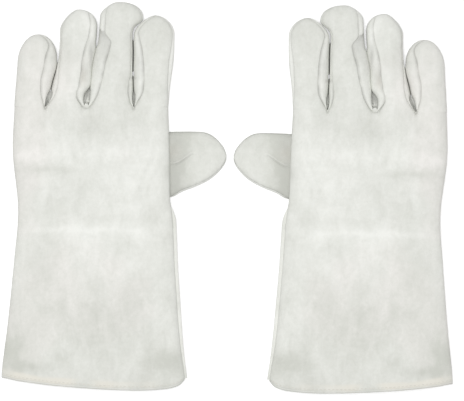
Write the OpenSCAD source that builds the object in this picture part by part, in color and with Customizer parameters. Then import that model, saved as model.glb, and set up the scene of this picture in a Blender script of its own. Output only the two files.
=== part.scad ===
// Pair of long welding gauntlets in split leather, laid flat with the palms down.
// A glove is drawn once in its own frame: X runs from the little finger to the thumb, Y from the
// cuff's hem to the fingertips and Z from the palm to the back. The other glove is its mirror image.
// Every panel is a sheet of leather of even thickness, cut where the real panels are sewn.

/* [Leather] */
// Thickness of the split leather
leather_t = 1.3; // [1:0.1:1.6]
// Thickness of the cotton lining
lining_t = 0.8; // [0.5:0.1:1.1]
// Clearance between two panels that are sewn together
seam_gap = 0.3; // [0.2:0.05:0.4]
// Clearance between the leather and the lining inside it
lining_gap = 0.4; // [0.3:0.1:0.6]
// Thickness of the welt strip sewn into the side seams
welt_t = 1.2; // [0.8:0.1:1.5]
// How far the welt strip stands out of the side seams
welt_out = 0.9; // [0.5:0.1:1.5]

/* [Hand] */
// Distance from the hem to the crotches between the fingers
root_y = 253.4; // [245:1:262]
// Width across the palm at the thumb
palm_w = 142.4; // [140:1:146]
// Thickness of the hand over the thumb root
hand_h = 27; // [25:0.5:30]
// Height of the side seams above the palm side, all round the glove
seam_z = 11; // [11:0.2:12]

/* [Cuff] */
// Distance from the hem to the seam between palm and cuff, on the centre line
wrist_y = 179; // [176:1:183]
// How much higher that seam sits at the little finger than at the centre line
wrist_slant = 11; // [4:1:13]
// Width at the wrist
wrist_w = 138.2; // [135:1:140]
// Width of the cuff at the hem
cuff_w = 168.6; // [160:1:176]
// Height of the cuff's mouth as it lies
mouth_h = 25; // [22:0.5:30]
// Height of the cuff where it meets the wrist
wrist_h = 22.5; // [20:0.5:25]
// How far the palm side of the cuff reaches below the back
hem_step = 3; // [1:0.5:5]
// Height of the facing strip sewn inside the hem
facing_w = 16; // [12:1:22]

/* [Fingers] */
// Width of the little finger at its root
little_w = 27.5; // [26.5:0.5:30]
// Width of the ring finger at its root
ring_w = 38; // [37:0.5:40]
// Width of the middle finger at its root
middle_w = 41; // [40:0.5:43]
// Width of the index finger at its root
index_w = 33; // [32:0.5:35]
// Length of the little finger above the crotches
little_len = 65.2; // [61:0.5:69]
// Length of the ring finger above the crotches
ring_len = 87.8; // [84:0.5:91]
// Length of the middle finger above the crotches
middle_len = 94.6; // [92.5:0.5:98]
// Length of the index finger above the crotches
index_len = 82.4; // [79:0.5:84]
// Thickness of the fingers
finger_h = 20; // [18:0.5:21.5]

/* [Thumb] */
// How far the thumb reaches out from the hand
thumb_len = 50.5; // [46:0.5:51]
// Width of the thumb where it leaves the hand
thumb_w = 59; // [54:0.5:60]
// Distance from the hem to the lower end of the thumb's root
thumb_y = 171; // [170.5:0.5:175]
// Thickness of the thumb
thumb_h = 10.4; // [9:0.2:10.4]

/* [Pair] */
// Distance between the two gloves, measured between their centre lines at the hem
pair_spacing = 240.7; // [236:1:300]
// Angle that the right glove is turned by, clockwise
pair_turn = 1.5; // [0:0.1:3]
// How much lower the right glove lies
pair_drop = 3.6; // [0:0.2:10]

/* [Hidden] */
LEATHER = [0.91, 0.91, 0.89];
CANVAS = [0.88, 0.85, 0.77];
FINGERS = ["little", "ring", "middle", "index"];
// Pieces of one glove. A piece's node is named after its side, such as left_palm.
PIECES = [
    "hand_back", "palm", "cuff_front", "crotch_webs", "side_welts", "hem_facing", "cuff_lining",
    "hand_lining", "little_back", "little_front", "little_fourchette", "little_lining",
    "ring_back", "ring_front", "ring_fourchettes", "ring_lining", "middle_back", "middle_front",
    "middle_fourchettes", "middle_lining", "index_back", "index_front", "index_fourchette",
    "index_lining", "thumb_upper", "thumb_lower", "thumb_lining"
];

// ---- Shape of the fingers ----
finger_w = [little_w, ring_w, middle_w, index_w];
finger_len = [little_len, ring_len, middle_len, index_len];
// Angle of each finger towards the thumb, in degrees
finger_lean = [7, 8, 5, 1.5];
// The four roots sit this far to the little finger's side of the centre line
knuckle_shift = -2.65;
root_sum = [for (i = 0, s = 0; i <= 4; s = s + (i < 4 ? finger_w[i] : 0), i = i + 1) s];
// X of the five borders between the finger roots
border = [for (s = root_sum) s - root_sum[4] / 2 + knuckle_shift];
// The fingers bend on a line this far above the crotches
bend_h = 4;
// Depth of the notch that the web between two fingers fills
notch = 2.6;

// Walls of each finger: height above the crotches and distance from the border on that side
left_wall = [
    [[0, 0], [14, 0.9], [28, 2.1], [37, 2.7]],
    [[0, 5.1], [10, 6.7], [20, 8.9], [30, 11.1], [46, 13.2], [60, 14.1]],
    [[0, 1.6], [15, 3.6], [30, 5.5], [39, 6.3], [54, 9.9], [69, 11.6], [80, 12.3]],
    [[0, 2.3], [13, 2.1], [25, 1.8], [42, 2.6], [51, 2.6], [index_len - 19, 1.9], [index_len - 15, 2.3]]
];
right_wall = [
    [[0, 0], [12, 3.3], [24, 6.3], [36, 10.1], [44, 11]],
    [[0, -1.9], [5, -2.2], [11, -1.7], [17, 2], [23, 3.5], [35, 4.1], [46, 6.3], [60, 8.7], [72, 9.6]],
    [[0, -2], [12, -2], [20, -1.1], [33, 0.7], [50, 1.4], [index_len - 19, 0.6], [index_len - 14, 1],
     [index_len - 10, 3.3], [index_len - 7, 7.3], [index_len - 4, 10.2]],
    [[0, 0], [19, 1.7], [37, 4.4], [51, 5.3], [65, 5.5]]
];
// Tip of each finger: X from the left border, then the length and the roundness of each shoulder
tip_x = [21.7, 30.4, 27.7, 21.1];
left_shoulder = [[28, 2], [18, 1.45], [12.6, 1.45], [16.4, 1.45]];
right_shoulder = [[21, 2], [16, 2.1], [14.6, 2.25], [16.4, 1.8]];
// How far the back panel's seam lies inside the wall, on the sides where the fourchette shows
open_inset = [[0, 5], [10, 7], [25, 8.5], [45, 7], [60, 4]];
// The same on a side that is rolled under, and on the palm side
tucked_inset = 1.6;
front_inset = 3;
// Sides with a fourchette: little finger's right, both of ring and middle, index finger's left
left_strip = [false, true, true, true];
right_strip = [true, true, true, false];
// Which of these turn up to the back
left_open = [false, false, true, true];
right_open = [true, true, false, false];
// The fourchettes narrow to a point over this length
strip_taper = 24;

// Exponents of the oval sections: across, over the back and under the palm
oval_x = 2.7;
oval_back = 2.3;
oval_front = 3.6;

// ---- Interpolation ----
function mix(a, b, t) = a + (b - a) * t;
function smooth(t) = let (c = min(1, max(0, t))) c * c * (3 - 2 * c);
function slope(s, i) =
    let (a = max(0, i - 1), b = min(len(s) - 1, i + 1))
    (s[b][1] - s[a][1]) / (s[b][0] - s[a][0]);
// Smooth curve through stations [place, value], level beyond both ends
function along(s, t, i = 0) =
    t <= s[0][0] ? s[0][1]
    : t >= s[len(s) - 1][0] ? s[len(s) - 1][1]
    : t > s[i + 1][0] ? along(s, t, i + 1)
    : let (
        w = s[i + 1][0] - s[i][0],
        u = (t - s[i][0]) / w,
        rest = 1 - u
    )
    s[i][1] * rest * rest * (1 + 2 * u) + s[i + 1][1] * u * u * (3 - 2 * u)
    + w * u * rest * (slope(s, i) * rest - slope(s, i + 1) * u);
// Signed power, for ovals
function spow(v, p) = sign(v) * pow(abs(v), p);
// Round end: 1 at its start, 0 after the given length
function round_end(t, length, n) =
    t <= 0 ? 1 : pow(max(0, 1 - pow(min(1, t / length), n)), 1 / n);

// ---- Sheets ----
function quad(a, b, c, d) = [[a, b, c], [a, c, d]];
// Closed sheet between two grids of points, given as rows seen from outside
module sheet(outer, inner) {
    rows = len(outer);
    cols = len(outer[0]);
    in = rows * cols;
    function at(i, j) = i * cols + j;
    faces = concat(
        [for (i = [0:rows - 2], j = [0:cols - 2])
            each quad(at(i, j), at(i + 1, j), at(i + 1, j + 1), at(i, j + 1))],
        [for (i = [0:rows - 2], j = [0:cols - 2])
            each quad(in + at(i, j), in + at(i, j + 1), in + at(i + 1, j + 1), in + at(i + 1, j))],
        [for (j = [0:cols - 2], end = [0, rows - 1]) each end == 0
            ? quad(at(end, j), at(end, j + 1), in + at(end, j + 1), in + at(end, j))
            : quad(at(end, j), in + at(end, j), in + at(end, j + 1), at(end, j + 1))],
        [for (i = [0:rows - 2], end = [0, cols - 1]) each end == 0
            ? quad(at(i, end), in + at(i, end), in + at(i + 1, end), at(i + 1, end))
            : quad(at(i, end), at(i + 1, end), in + at(i + 1, end), in + at(i, end))]
    );
    polyhedron([for (row = concat(outer, inner), p = row) p], faces);
}

// Closed sleeve between two rows of rings, open at the first ring and open or closed at the last
module sleeve(outer, inner, closed) {
    rows = len(outer);
    cols = len(outer[0]);
    in = rows * cols;
    last = rows - 1;
    function at(i, j) = i * cols + j % cols;
    faces = concat(
        [for (i = [0:rows - 2], j = [0:cols - 1])
            each quad(at(i, j), at(i + 1, j), at(i + 1, j + 1), at(i, j + 1))],
        [for (i = [0:rows - 2], j = [0:cols - 1])
            each quad(in + at(i, j), in + at(i, j + 1), in + at(i + 1, j + 1), in + at(i + 1, j))],
        [for (j = [0:cols - 1]) each quad(at(0, j), at(0, j + 1), in + at(0, j + 1), in + at(0, j))],
        closed
            ? [for (j = [1:cols - 2]) each [
                [at(last, 0), at(last, j + 1), at(last, j)],
                [in + at(last, 0), in + at(last, j), in + at(last, j + 1)]
            ]]
            : [for (j = [0:cols - 1])
                each quad(at(last, j), in + at(last, j), in + at(last, j + 1), at(last, j + 1))]
    );
    polyhedron([for (row = concat(outer, inner), p = row) p], faces);
}

// ---- Fingers ----
function wall(f, right, h) =
    right ? border[f + 1] + along(right_wall[f], h) : border[f] + along(left_wall[f], h);
// X of a finger's outline, with its rounded tip
function outline(f, right, h) =
    let (
        shoulder = right ? right_shoulder[f] : left_shoulder[f],
        start = finger_len[f] - shoulder[0],
        tip = border[f] + tip_x[f]
    )
    mix(tip, wall(f, right, min(h, start)), round_end(h - start, shoulder[0], shoulder[1]));
// The seams sink a little towards the fingertips
tip_sink = 1.5;
function seam_height(f, h) = seam_z - tip_sink * h / finger_len[f];
// Tip rounding in side view: its length, how far it would run past the tip, and its power
side_round = 15;
side_past = 0.6;
side_power = 2.2;
// The finger thins this much towards its tip
tip_thin = 1.8;
function end_scale(f, h) =
    round_end(h - finger_len[f] + side_round, side_round + side_past, side_power);
function over_seam(f, h) =
    let (full = finger_h - seam_height(f, h) - leather_t - seam_gap - tip_thin * h / finger_len[f])
    leather_t + seam_gap + full * end_scale(f, h);
function under_seam(f, h) =
    leather_t + seam_gap + (seam_height(f, h) - leather_t - seam_gap) * end_scale(f, h);
// The rows are square to the finger at its root and square to the hand at its tip
function row_slope(f, h) = tan(finger_lean[f]) * (1 - h / finger_len[f]);
// Section of a finger: middle X, half width
function section(f, h) =
    let (
        half = (outline(f, true, h) - outline(f, false, h)) / 2,
        rise = half * row_slope(f, h),
        left = outline(f, false, h + rise),
        right = outline(f, true, h - rise)
    )
    [(left + right) / 2, (right - left) / 2];
// Point of a finger's skin at height h and angle a: 0 at the right wall, 90 on the back
function skin(f, h, a, inset = 0) =
    let (
        s = section(f, h),
        x = (s[1] - inset) * spow(cos(a), 2 / oval_x),
        z = sin(a) >= 0
            ? (over_seam(f, h) - inset) * spow(sin(a), 2 / oval_back)
            : (under_seam(f, h) - inset) * spow(sin(a), 2 / oval_front)
    )
    [s[0] + x, root_y + h - x * row_slope(f, h), seam_height(f, h) + z];
// Angle at which the skin is a given distance inside its wall
function inset_angle(f, h, inset) =
    acos(pow(max(0, 1 - inset / section(f, h)[1]), oval_x / 2));
// Angle that half a seam's clearance takes at angle a
function gap_angle(f, h, a) = seam_gap / 2 / norm(skin(f, h, a + 1) - skin(f, h, a));
// The seam closes in on the wall towards the end of the fourchette
strip_point = 0.02;
function taper(f, h, inset) =
    let (end = row_heights(f)[strip_last])
    h > end ? 0 : max(strip_point, inset * smooth((end - h) / strip_taper));
function back_seam(f, right, h) =
    let (
        strip = right ? right_strip[f] : left_strip[f],
        open = right ? right_open[f] : left_open[f],
        inset = open ? along(open_inset, h) : tucked_inset
    )
    strip ? inset_angle(f, h, taper(f, h, inset)) : 0;
function front_seam(f, right, h) =
    let (strip = right ? right_strip[f] : left_strip[f])
    strip ? -inset_angle(f, h, taper(f, h, front_inset)) : 0;

// Heights of the rows of a finger, closer together towards the tip
tip_margin = 0.4;
finger_rows = [0, 0.13, 0.29, 0.46, 0.62, 0.76, 0.87, 0.95, 1];
// Row that the fourchettes end on
strip_last = 7;
function row_heights(f) =
    [for (t = finger_rows) mix(bend_h + seam_gap / 2, finger_len[f] - tip_margin, t)];
function spread(a, b, steps) = [for (j = [0:steps]) mix(a, b, j / steps)];

// Rows of a back or front panel, from the finger's left seam to its right seam
panel_steps = 6;
strip_steps = 3;
function panel_angles(f, h, back) =
    let (
        r = back ? back_seam(f, true, h) : front_seam(f, true, h),
        l = back ? back_seam(f, false, h) : front_seam(f, false, h),
        r_gap = gap_angle(f, h, r),
        l_gap = gap_angle(f, h, l)
    )
    back ? spread(180 - l - l_gap, r + r_gap, panel_steps)
         : spread(r - r_gap, l_gap - 180 - l, panel_steps);
module finger_panel(f, back) {
    function grid(inset) =
        [for (h = row_heights(f)) [for (a = panel_angles(f, h, back)) skin(f, h, a, inset)]];
    color(LEATHER) sheet(grid(0), grid(leather_t));
}

// Strip along one side of a finger, between the back and the front panel
function strip_angles(f, right, h) =
    let (
        top = back_seam(f, right, h) - gap_angle(f, h, back_seam(f, right, h)),
        low = front_seam(f, right, h) + gap_angle(f, h, front_seam(f, right, h))
    )
    right ? spread(top, low, strip_steps) : spread(180 - low, 180 - top, strip_steps);
module fourchette(f, right) {
    heights = row_heights(f);
    function grid(inset) = [for (i = [0:strip_last])
        [for (a = strip_angles(f, right, heights[i])) skin(f, heights[i], a, inset)]];
    color(LEATHER) sheet(grid(0), grid(leather_t));
}
module fourchettes(f) {
    if (left_strip[f]) fourchette(f, false);
    if (right_strip[f]) fourchette(f, true);
}

// Lining of a finger, a loose bag of eight sides that ends short of the tip
ring_sides = 8;
ring_angles = [for (j = [0:ring_sides - 1]) -j * 360 / ring_sides];
lining_outer = leather_t + lining_gap;
lining_inner = lining_outer + lining_t;
finger_slack = 1.1;
lining_rise = 0.5;
lining_rows = [0, 2, 4, 5, 6, 7];
module finger_lining(f) {
    heights = [for (i = lining_rows) row_heights(f)[i]];
    function rings(inset, short) = [for (i = [0:len(heights) - 1])
        let (h = heights[i] + (i == len(heights) - 1 ? -short : lining_rise))
        [for (a = ring_angles) skin(f, h, a, inset)]];
    color(CANVAS) sleeve(rings(lining_outer + finger_slack, 0),
                         rings(lining_inner + finger_slack, lining_t), true);
}

// ---- Hand and cuff ----
function left_side(y) = along([
    [0, -cuff_w / 2], [0.22 * wrist_y, 4.2 - cuff_w / 2], [0.64 * wrist_y, -wrist_w / 2 - 3.5],
    [0.89 * wrist_y, -wrist_w / 2], [1.19 * wrist_y, -palm_w / 2 - 2.6], [root_y, border[0]]
], y);
function right_side(y) = along([
    [0, cuff_w / 2], [0.2 * wrist_y, cuff_w / 2 - 4.2], [0.6 * wrist_y, wrist_w / 2 + 6.2],
    [0.8 * wrist_y, wrist_w / 2 + 4.4], [0.94 * wrist_y, wrist_w / 2],
    [1.14 * wrist_y, palm_w / 2 - 2.6], [root_y, border[4]]
], y);
function top_z(y) = along([
    [0, mouth_h], [0.9 * wrist_y, wrist_h], [thumb_y + thumb_w / 2, hand_h], [root_y, finger_h]
], y);
// Line of the hem across the cuff, lowest right of the middle and rounded at the thumb's side
hem_line = [[-1, 7.5], [-0.8, 4], [-0.35, -0.6], [0.4, -4.4], [0.8, -3], [0.94, 0.5], [1, 6]];
// Exponents of the hand's section, across and up. The palm side lies flat over its middle part.
hand_across = 3;
hand_round = 2.3;
palm_across = 4.6;
palm_round = 2.6;
palm_flat = 0.36;
// How far the hand rises or sinks at place u across it, from 0 at the side seams to 1
function crown(u, back) =
    back ? pow(1 - pow(abs(u), hand_across), 1 / hand_round)
    : pow(1 - pow(max(0, abs(u) - palm_flat) / (1 - palm_flat), palm_across), 1 / palm_round);
// How late the leather turns from lying flat to standing up at the side seams
side_wrap = 12;
// The crowns of the fingers fade into the hand over this length
knuckle_fade = 34;
function knuckle(y) = smooth((y - root_y + knuckle_fade) / knuckle_fade);
// The palm's edge drops to the thumb's lower panel where the thumb leaves the hand
window_fade = 9;
window_edge = 0.88;
function thumb_window(y) =
    window_edge * smooth((y - thumb_y + window_fade) / window_fade)
    * smooth((thumb_y + thumb_w + window_fade - y) / window_fade);

// Columns that end on a finger: finger and place across it, from one seam to the other
edge_columns = [0, 0.1, 0.32, 0.65, 1];
inner_columns = [0, 0.32, 0.68, 1];
function column_places(f) =
    f == 0 ? edge_columns : f == 3 ? [for (j = [4:-1:0]) 1 - edge_columns[j]] : inner_columns;
// Root columns of the hand: [x, y, z on the outside] where the back or palm meets a finger or web
bend_low = bend_h - seam_gap / 2;
function root_angle(f, back, t) =
    let (
        h = bend_low,
        r = back ? back_seam(f, true, h) : front_seam(f, true, h),
        l = back ? back_seam(f, false, h) : front_seam(f, false, h),
        l_gap = gap_angle(f, h, l),
        r_gap = gap_angle(f, h, r)
    )
    back ? mix(180 - l - l_gap, r + r_gap, t) : mix(l_gap - 180 - l, r - r_gap, t);
// Middle of the crotch between finger f and the next one, at height h
function crotch_x(f, h = 0) = (wall(f, true, h) + wall(f + 1, false, h)) / 2;
// Height of the crotches: halfway up the finger on the back, and this share of the seam below
crotch_low = 0.3;
function crotch_z(back) = back ? (seam_z + finger_h) / 2 : crotch_low * seam_z;
function root_columns(back) = [
    for (f = [0:3]) each concat(
        [for (t = column_places(f)) skin(f, bend_low, root_angle(f, back, t))],
        f < 3 ? [[crotch_x(f), root_y - notch, crotch_z(back)]] : []
    )
];
back_root = root_columns(true);
front_root = root_columns(false);
last_column = len(back_root) - 1;

// Place of a column across the hand, from -1 at the little finger's side to 1
function column_u(j, back) =
    let (root = back ? back_root : front_root, ends = [root[0][0], root[last_column][0]])
    (2 * root[j][0] - ends[0] - ends[1]) / (ends[1] - ends[0]);
// Point of the hand's outside: row y, column j; back or palm
function hand_point(y, j, back, inset = 0) =
    let (
        root = back ? back_root[j] : front_root[j],
        u = column_u(j, back),
        at_root = knuckle(y),
        x_mid = (right_side(y) + left_side(y)) / 2,
        x_half = (right_side(y) - left_side(y)) / 2,
        seam = seam_z + (back ? 1 : -1) * (welt_t + seam_gap) / 2,
        drop = !back && u > 0 ? thumb_window(y) : 0,
        hand_z = back
            ? seam + (top_z(y) - seam) * crown(u, true)
            : seam * (1 - crown(u, false)) * (1 - drop),
        z = mix(hand_z, root[2], at_root),
        side = spow(u, side_wrap),
        up = sqrt(1 - side * side)
    )
    [x_mid + x_half * u - inset * side, y + (root[1] - root_y) * at_root,
     z - (back ? 1 : -1) * inset * up];
function hem_y(j, back) = along(hem_line, column_u(j, back)) + (back ? hem_step : 0);

function shifted(p, dy) = [p[0], p[1] + dy, p[2]];
// Rows of the back from the hem to the fingers. The hem's line fades out along the cuff.
hem_fade = 70;
back_rows = [0, 0.11, 0.245, 0.38, 0.51, 0.63, 0.735, 0.82, 0.895, 0.955, 1];
function back_grid(inset) =
    [for (t = back_rows) [for (j = [0:last_column])
        shifted(hand_point(t * root_y, j, true, inset),
                hem_y(j, true) * (1 - smooth(t * root_y / hem_fade)))]];
module hand_back() {
    color(LEATHER) sheet(back_grid(0), back_grid(leather_t));
}

// Line of the seam between palm and cuff
function wrist_line(j) = wrist_y - wrist_slant * column_u(j, false);
palm_rows = [0, 0.2, 0.45, 0.68, 0.86, 1];
function palm_grid(inset) =
    [for (t = palm_rows) [for (j = [last_column:-1:0])
        hand_point(mix(wrist_line(j) + seam_gap / 2, root_y, t), j, false, inset)]];
module palm() {
    color(LEATHER) sheet(palm_grid(0), palm_grid(leather_t));
}

cuff_columns = [20, 19, 18, 17, 16, 13, 10, 7, 4, 3, 2, 1, 0];
cuff_rows = [0, 0.2, 0.45, 0.72, 1];
function cuff_grid(inset) =
    [for (t = cuff_rows) [for (j = cuff_columns)
        shifted(hand_point(mix(0, wrist_line(j) - seam_gap / 2, t), j, false, inset),
                hem_y(j, false) * (1 - smooth(t * wrist_y / hem_fade)))]];
module cuff_front() {
    color(LEATHER) sheet(cuff_grid(0), cuff_grid(leather_t));
}

// ---- Webs between the fingers ----
// Five stations from one finger's base round the crotch to the next finger's base
web_levels = 4;
// The web turns in under the panels, so its clearance is this many times a plain seam's
web_clearance = 5.5;
// How far each web's fold reaches up between the fingers. Its two layers lie on each other, so
// the inside of the web stays level.
web_reach = [10, 11, 12];
function web_angle(f, right, v) =
    let (
        h = bend_low,
        b = back_seam(f, right, h),
        p = front_seam(f, right, h),
        a = mix(b - web_clearance * gap_angle(f, h, b), p + web_clearance * gap_angle(f, h, p), v)
    )
    right ? a : 180 - a;
function web_point(f, k, v, inset) =
    let (
        start = skin(f, bend_low, web_angle(f, true, v), inset),
        end = skin(f + 1, bend_low, web_angle(f + 1, false, v), inset),
        bow = sin(180 * v),
        z = mix(crotch_z(true), crotch_z(false), v),
        reach = inset > 0 ? 0 : (web_reach[f] + notch - web_clearance * seam_gap) * bow,
        low = [crotch_x(f, web_reach[f] * bow), root_y - notch + web_clearance * seam_gap + reach,
               z - inset * (1 - 2 * v) * (1 - bow)],
        half = k <= 2 ? mix(start, low, k / 2) : mix(low, end, k / 2 - 1),
        pinch = inset == 0 && k % 2 == 1 ? (web_reach[f] - bend_h + 3) / 2 * pow(bow, 3) : 0
    )
    half - [0, pinch, 0];
module crotch_web(f) {
    function grid(inset) =
        [for (k = [4:-1:0]) [for (v = [0:web_levels]) web_point(f, k, v / web_levels, inset)]];
    color(LEATHER) sheet(grid(0), grid(leather_t));
}
module crotch_webs() {
    for (f = [0:2]) crotch_web(f);
}

// ---- Side welts ----
// Section of a welt at height y, with its corners as [outer or inner edge, under or over]
welt_corners = [[true, -1], [true, 1], [false, 1], [false, -1]];
// The welt's inner edge stops this far short of the leather's inner face
welt_short = 0.2;
welt_start = 12;
// The welts end this far short of the crotches and of the thumb
welt_to_root = 24;
welt_to_thumb = 3;
welt_steps = 11;
function welt_ring(right, y) =
    [for (c = welt_corners) let (out = c[0] ? welt_out : welt_short - leather_t)
        [right ? right_side(y) + out : left_side(y) - out, y, seam_z + c[1] * welt_t / 2]];
// Strip in a side seam between the cuff's hem and a height above it
module welt(right, to) {
    rings = [for (y = spread(welt_start, to, welt_steps)) welt_ring(right, y)];
    n = len(rings);
    side = [for (i = [0:n - 2], j = [0:3])
        each quad(4 * i + j, 4 * i + 4 + j, 4 * i + 4 + (j + 1) % 4, 4 * i + (j + 1) % 4)];
    ends = [[0, 1, 2], [0, 2, 3], [4 * n - 4, 4 * n - 2, 4 * n - 3], [4 * n - 4, 4 * n - 1, 4 * n - 2]];
    faces = concat(side, ends);
    color(LEATHER) polyhedron(
        [for (r = rings, p = r) p],
        right ? [for (t = faces) [t[2], t[1], t[0]]] : faces
    );
}
module side_welts() {
    welt(false, root_y - welt_to_root);
    welt(true, thumb_y - welt_to_thumb);
}

// ---- Linings of the hand and the cuff ----
// Ring round the inside of the glove at height y: back from thumb side, then palm
lining_u = [1, 0.9, 0.6, 0.2, -0.2, -0.6, -0.9];
// How loosely the linings lie in the cuff and hand, and how much more so under the knuckles
body_slack = 0.6;
knuckle_slack = 2.4;
function inside_point(y, u, back, inset) =
    let (
        x_mid = (right_side(y) + left_side(y)) / 2,
        x_half = (right_side(y) - left_side(y)) / 2 - inset - body_slack,
        slack = body_slack + knuckle_slack * knuckle(y),
        rise = back ? top_z(y) - seam_z - inset - slack : inset + slack - seam_z
    )
    [x_mid + x_half * u, y, seam_z + rise * crown(u, back)];
function inside_ring(y, inset) = concat(
    [for (u = lining_u) inside_point(y, u, false, inset)],
    [for (u = lining_u) inside_point(y, -u, true, inset)]
);
module inside_sleeve(ys, outer_inset, inner_inset) {
    function rings(inset) = [for (y = ys) inside_ring(y, inset)];
    color(CANVAS) sleeve(rings(outer_inset), rings(inner_inset), false);
}
facing_t = 0.9;
hem_inside = 12;
module hem_facing() {
    inside_sleeve([hem_inside, hem_inside + facing_w / 2, hem_inside + facing_w],
                  leather_t + lining_gap, leather_t + lining_gap + facing_t);
}
cuff_lining_steps = 4;
module cuff_lining() {
    start = hem_inside + facing_w + seam_gap;
    inside_sleeve(spread(start, wrist_y - wrist_slant - seam_gap, cuff_lining_steps),
                  lining_outer, lining_inner);
}
// Rows of the hand's lining above the thumb's lower end, and how far short of the crotches it ends
hand_lining_rows = [14, 40];
hand_lining_end = 26;
module hand_lining() {
    inside_sleeve([wrist_y - wrist_slant + seam_gap, for (h = hand_lining_rows) thumb_y + h,
                   root_y - hand_lining_end], lining_outer, lining_inner);
}

// ---- Thumb ----
// The thumb reaches out from the hand's side: how far out, then its lower and upper edge along Y
thumb_out = [0, 0.2, 0.42, 0.62, 0.78, 0.9, 0.97, 1];
thumb_low = [[0, 0], [0.2, 6.2], [0.42, 10.4], [0.62, 15.4], [0.78, 21], [0.9, 28.4], [0.97, 33.4], [1, 36]];
thumb_high = [[0, 0], [0.42, 0], [0.62, -1], [0.78, -6.6], [0.9, -13], [0.97, -18], [1, -21.4]];
thumb_seam_z = 5;
// The thumb thins out over its outer half: where that starts, its length and its power
thumb_thin = [0.55, 0.47, 2.2];
thumb_steps = 6;
thumb_slack = 0.3;
thumb_gap = 0.4;
thumb_x = max(right_side(thumb_y), right_side(thumb_y + thumb_w)) + thumb_gap;
function thumb_section(t) =
    let (low = thumb_y + along(thumb_low, t), high = thumb_y + thumb_w + along(thumb_high, t))
    [(low + high) / 2, (high - low) / 2];
function thumb_skin(t, a, inset = 0) =
    let (
        s = thumb_section(t),
        flat = round_end(t - thumb_thin[0], thumb_thin[1], thumb_thin[2]),
        up = leather_t + seam_gap + (thumb_h - thumb_seam_z - leather_t - seam_gap) * flat,
        down = leather_t + seam_gap + (thumb_seam_z - leather_t - seam_gap) * flat
    )
    [thumb_x + t * thumb_len, s[0] - max(s[1] - inset, s[1] / 3) * spow(cos(a), 2 / oval_x),
     thumb_seam_z + (sin(a) >= 0
        ? (up - inset) * spow(sin(a), 2 / oval_back)
        : (down - inset) * spow(sin(a), 2 / oval_front))];
module thumb_panel(upper) {
    function angles(t) =
        let (g = seam_gap / 2 / norm(thumb_skin(t, 1) - thumb_skin(t, 0)))
        upper ? spread(180 - g, g, thumb_steps) : spread(-g, g - 180, thumb_steps);
    function grid(inset) = [for (t = thumb_out) [for (a = angles(t)) thumb_skin(t, a, inset)]];
    color(LEATHER) sheet(grid(0), grid(leather_t));
}
// The thumb's lining ends short of its tip: the rings before its last, and the last
thumb_rings = [0.01, 0.35, 0.65];
thumb_last = 0.86;
module thumb_lining() {
    function rings(inset, last) =
        [for (t = concat(thumb_rings, last)) [for (a = ring_angles) thumb_skin(t, a, inset)]];
    color(CANVAS) sleeve(rings(lining_outer + thumb_slack, thumb_last),
                         rings(lining_inner + thumb_slack, thumb_last - lining_t / thumb_len), true);
}

// ---- The pair ----
// The right glove is the left one's mirror image, turned and moved into place
function paired(p, side) =
    side == "left" ? p
    : [pair_spacing - p[0] * cos(pair_turn) + p[1] * sin(pair_turn),
       p[0] * sin(pair_turn) + p[1] * cos(pair_turn) - pair_drop, p[2]];
// The outermost points of the gloves in plan, which put the origin under the middle of the pair
reach_points = concat(
    back_grid(0)[0], cuff_grid(0)[0], welt_ring(false, welt_start), welt_ring(true, welt_start),
    [for (f = [0:3], h = row_heights(f), a = panel_angles(f, h, true)) skin(f, h, a)]
);
pair_points = [for (side = ["left", "right"], p = reach_points) paired(p, side)];
pair_x = [for (p = pair_points) p[0]];
pair_y = [for (p = pair_points) p[1]];
pair_middle = [(min(pair_x) + max(pair_x)) / 2, (min(pair_y) + max(pair_y)) / 2, 0];

module glove(side) {
    hand_back();
    palm();
    cuff_front();
    crotch_webs();
    side_welts();
    hem_facing();
    cuff_lining();
    hand_lining();
    for (f = [0:3]) {
        name = str(side, "_", FINGERS[f]);
        strips = left_strip[f] && right_strip[f] ? "_fourchettes" : "_fourchette";
        finger_panel(f, true);
        finger_panel(f, false);
        fourchettes(f);
        finger_lining(f);
    }
    thumb_panel(true);
    thumb_panel(false);
    thumb_lining();
}
translate(-pair_middle) {
    glove("left");
    translate([pair_spacing, -pair_drop, 0]) rotate(-pair_turn) mirror([1, 0, 0]) glove("right");
}
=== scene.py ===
"""Dresses a pair of long split leather welding gauntlets: the leather panels with their turned seams,
the linings, the stitching, and the stage that they lie on."""

import math

import bpy
import numpy as np
from bpy.props import FloatProperty, FloatVectorProperty, PointerProperty
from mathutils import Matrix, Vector, noise


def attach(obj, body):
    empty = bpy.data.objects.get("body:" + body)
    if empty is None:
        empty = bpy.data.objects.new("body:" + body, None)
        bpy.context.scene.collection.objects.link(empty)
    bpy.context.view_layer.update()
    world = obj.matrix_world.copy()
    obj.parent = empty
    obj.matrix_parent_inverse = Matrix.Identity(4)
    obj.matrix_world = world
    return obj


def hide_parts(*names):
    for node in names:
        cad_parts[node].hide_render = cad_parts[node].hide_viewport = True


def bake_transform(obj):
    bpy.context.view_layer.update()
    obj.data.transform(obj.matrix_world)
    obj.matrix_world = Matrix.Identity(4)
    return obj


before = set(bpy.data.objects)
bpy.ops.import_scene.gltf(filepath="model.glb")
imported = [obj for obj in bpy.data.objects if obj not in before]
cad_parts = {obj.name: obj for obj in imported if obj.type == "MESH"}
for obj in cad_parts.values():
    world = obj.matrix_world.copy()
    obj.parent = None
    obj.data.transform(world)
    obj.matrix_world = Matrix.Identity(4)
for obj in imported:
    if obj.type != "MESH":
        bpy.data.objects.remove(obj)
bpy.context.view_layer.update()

bl_info = {
    "name": "Welding gauntlets",
    "version": (1, 0, 0),
    "blender": (4, 5, 0),
    "location": "3D View > Sidebar > Gauntlets",
    "description": "Builds a pair of split leather welding gauntlets",
    "category": "Object",
}

MM = 0.001
SIDES = ("left", "right")
# Channels of a panel's marks: painted shade in its seams, creases and hollows, the hem's cream, and
# its own tone
CREASE, CREAM, TONE = 0, 1, 2


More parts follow.
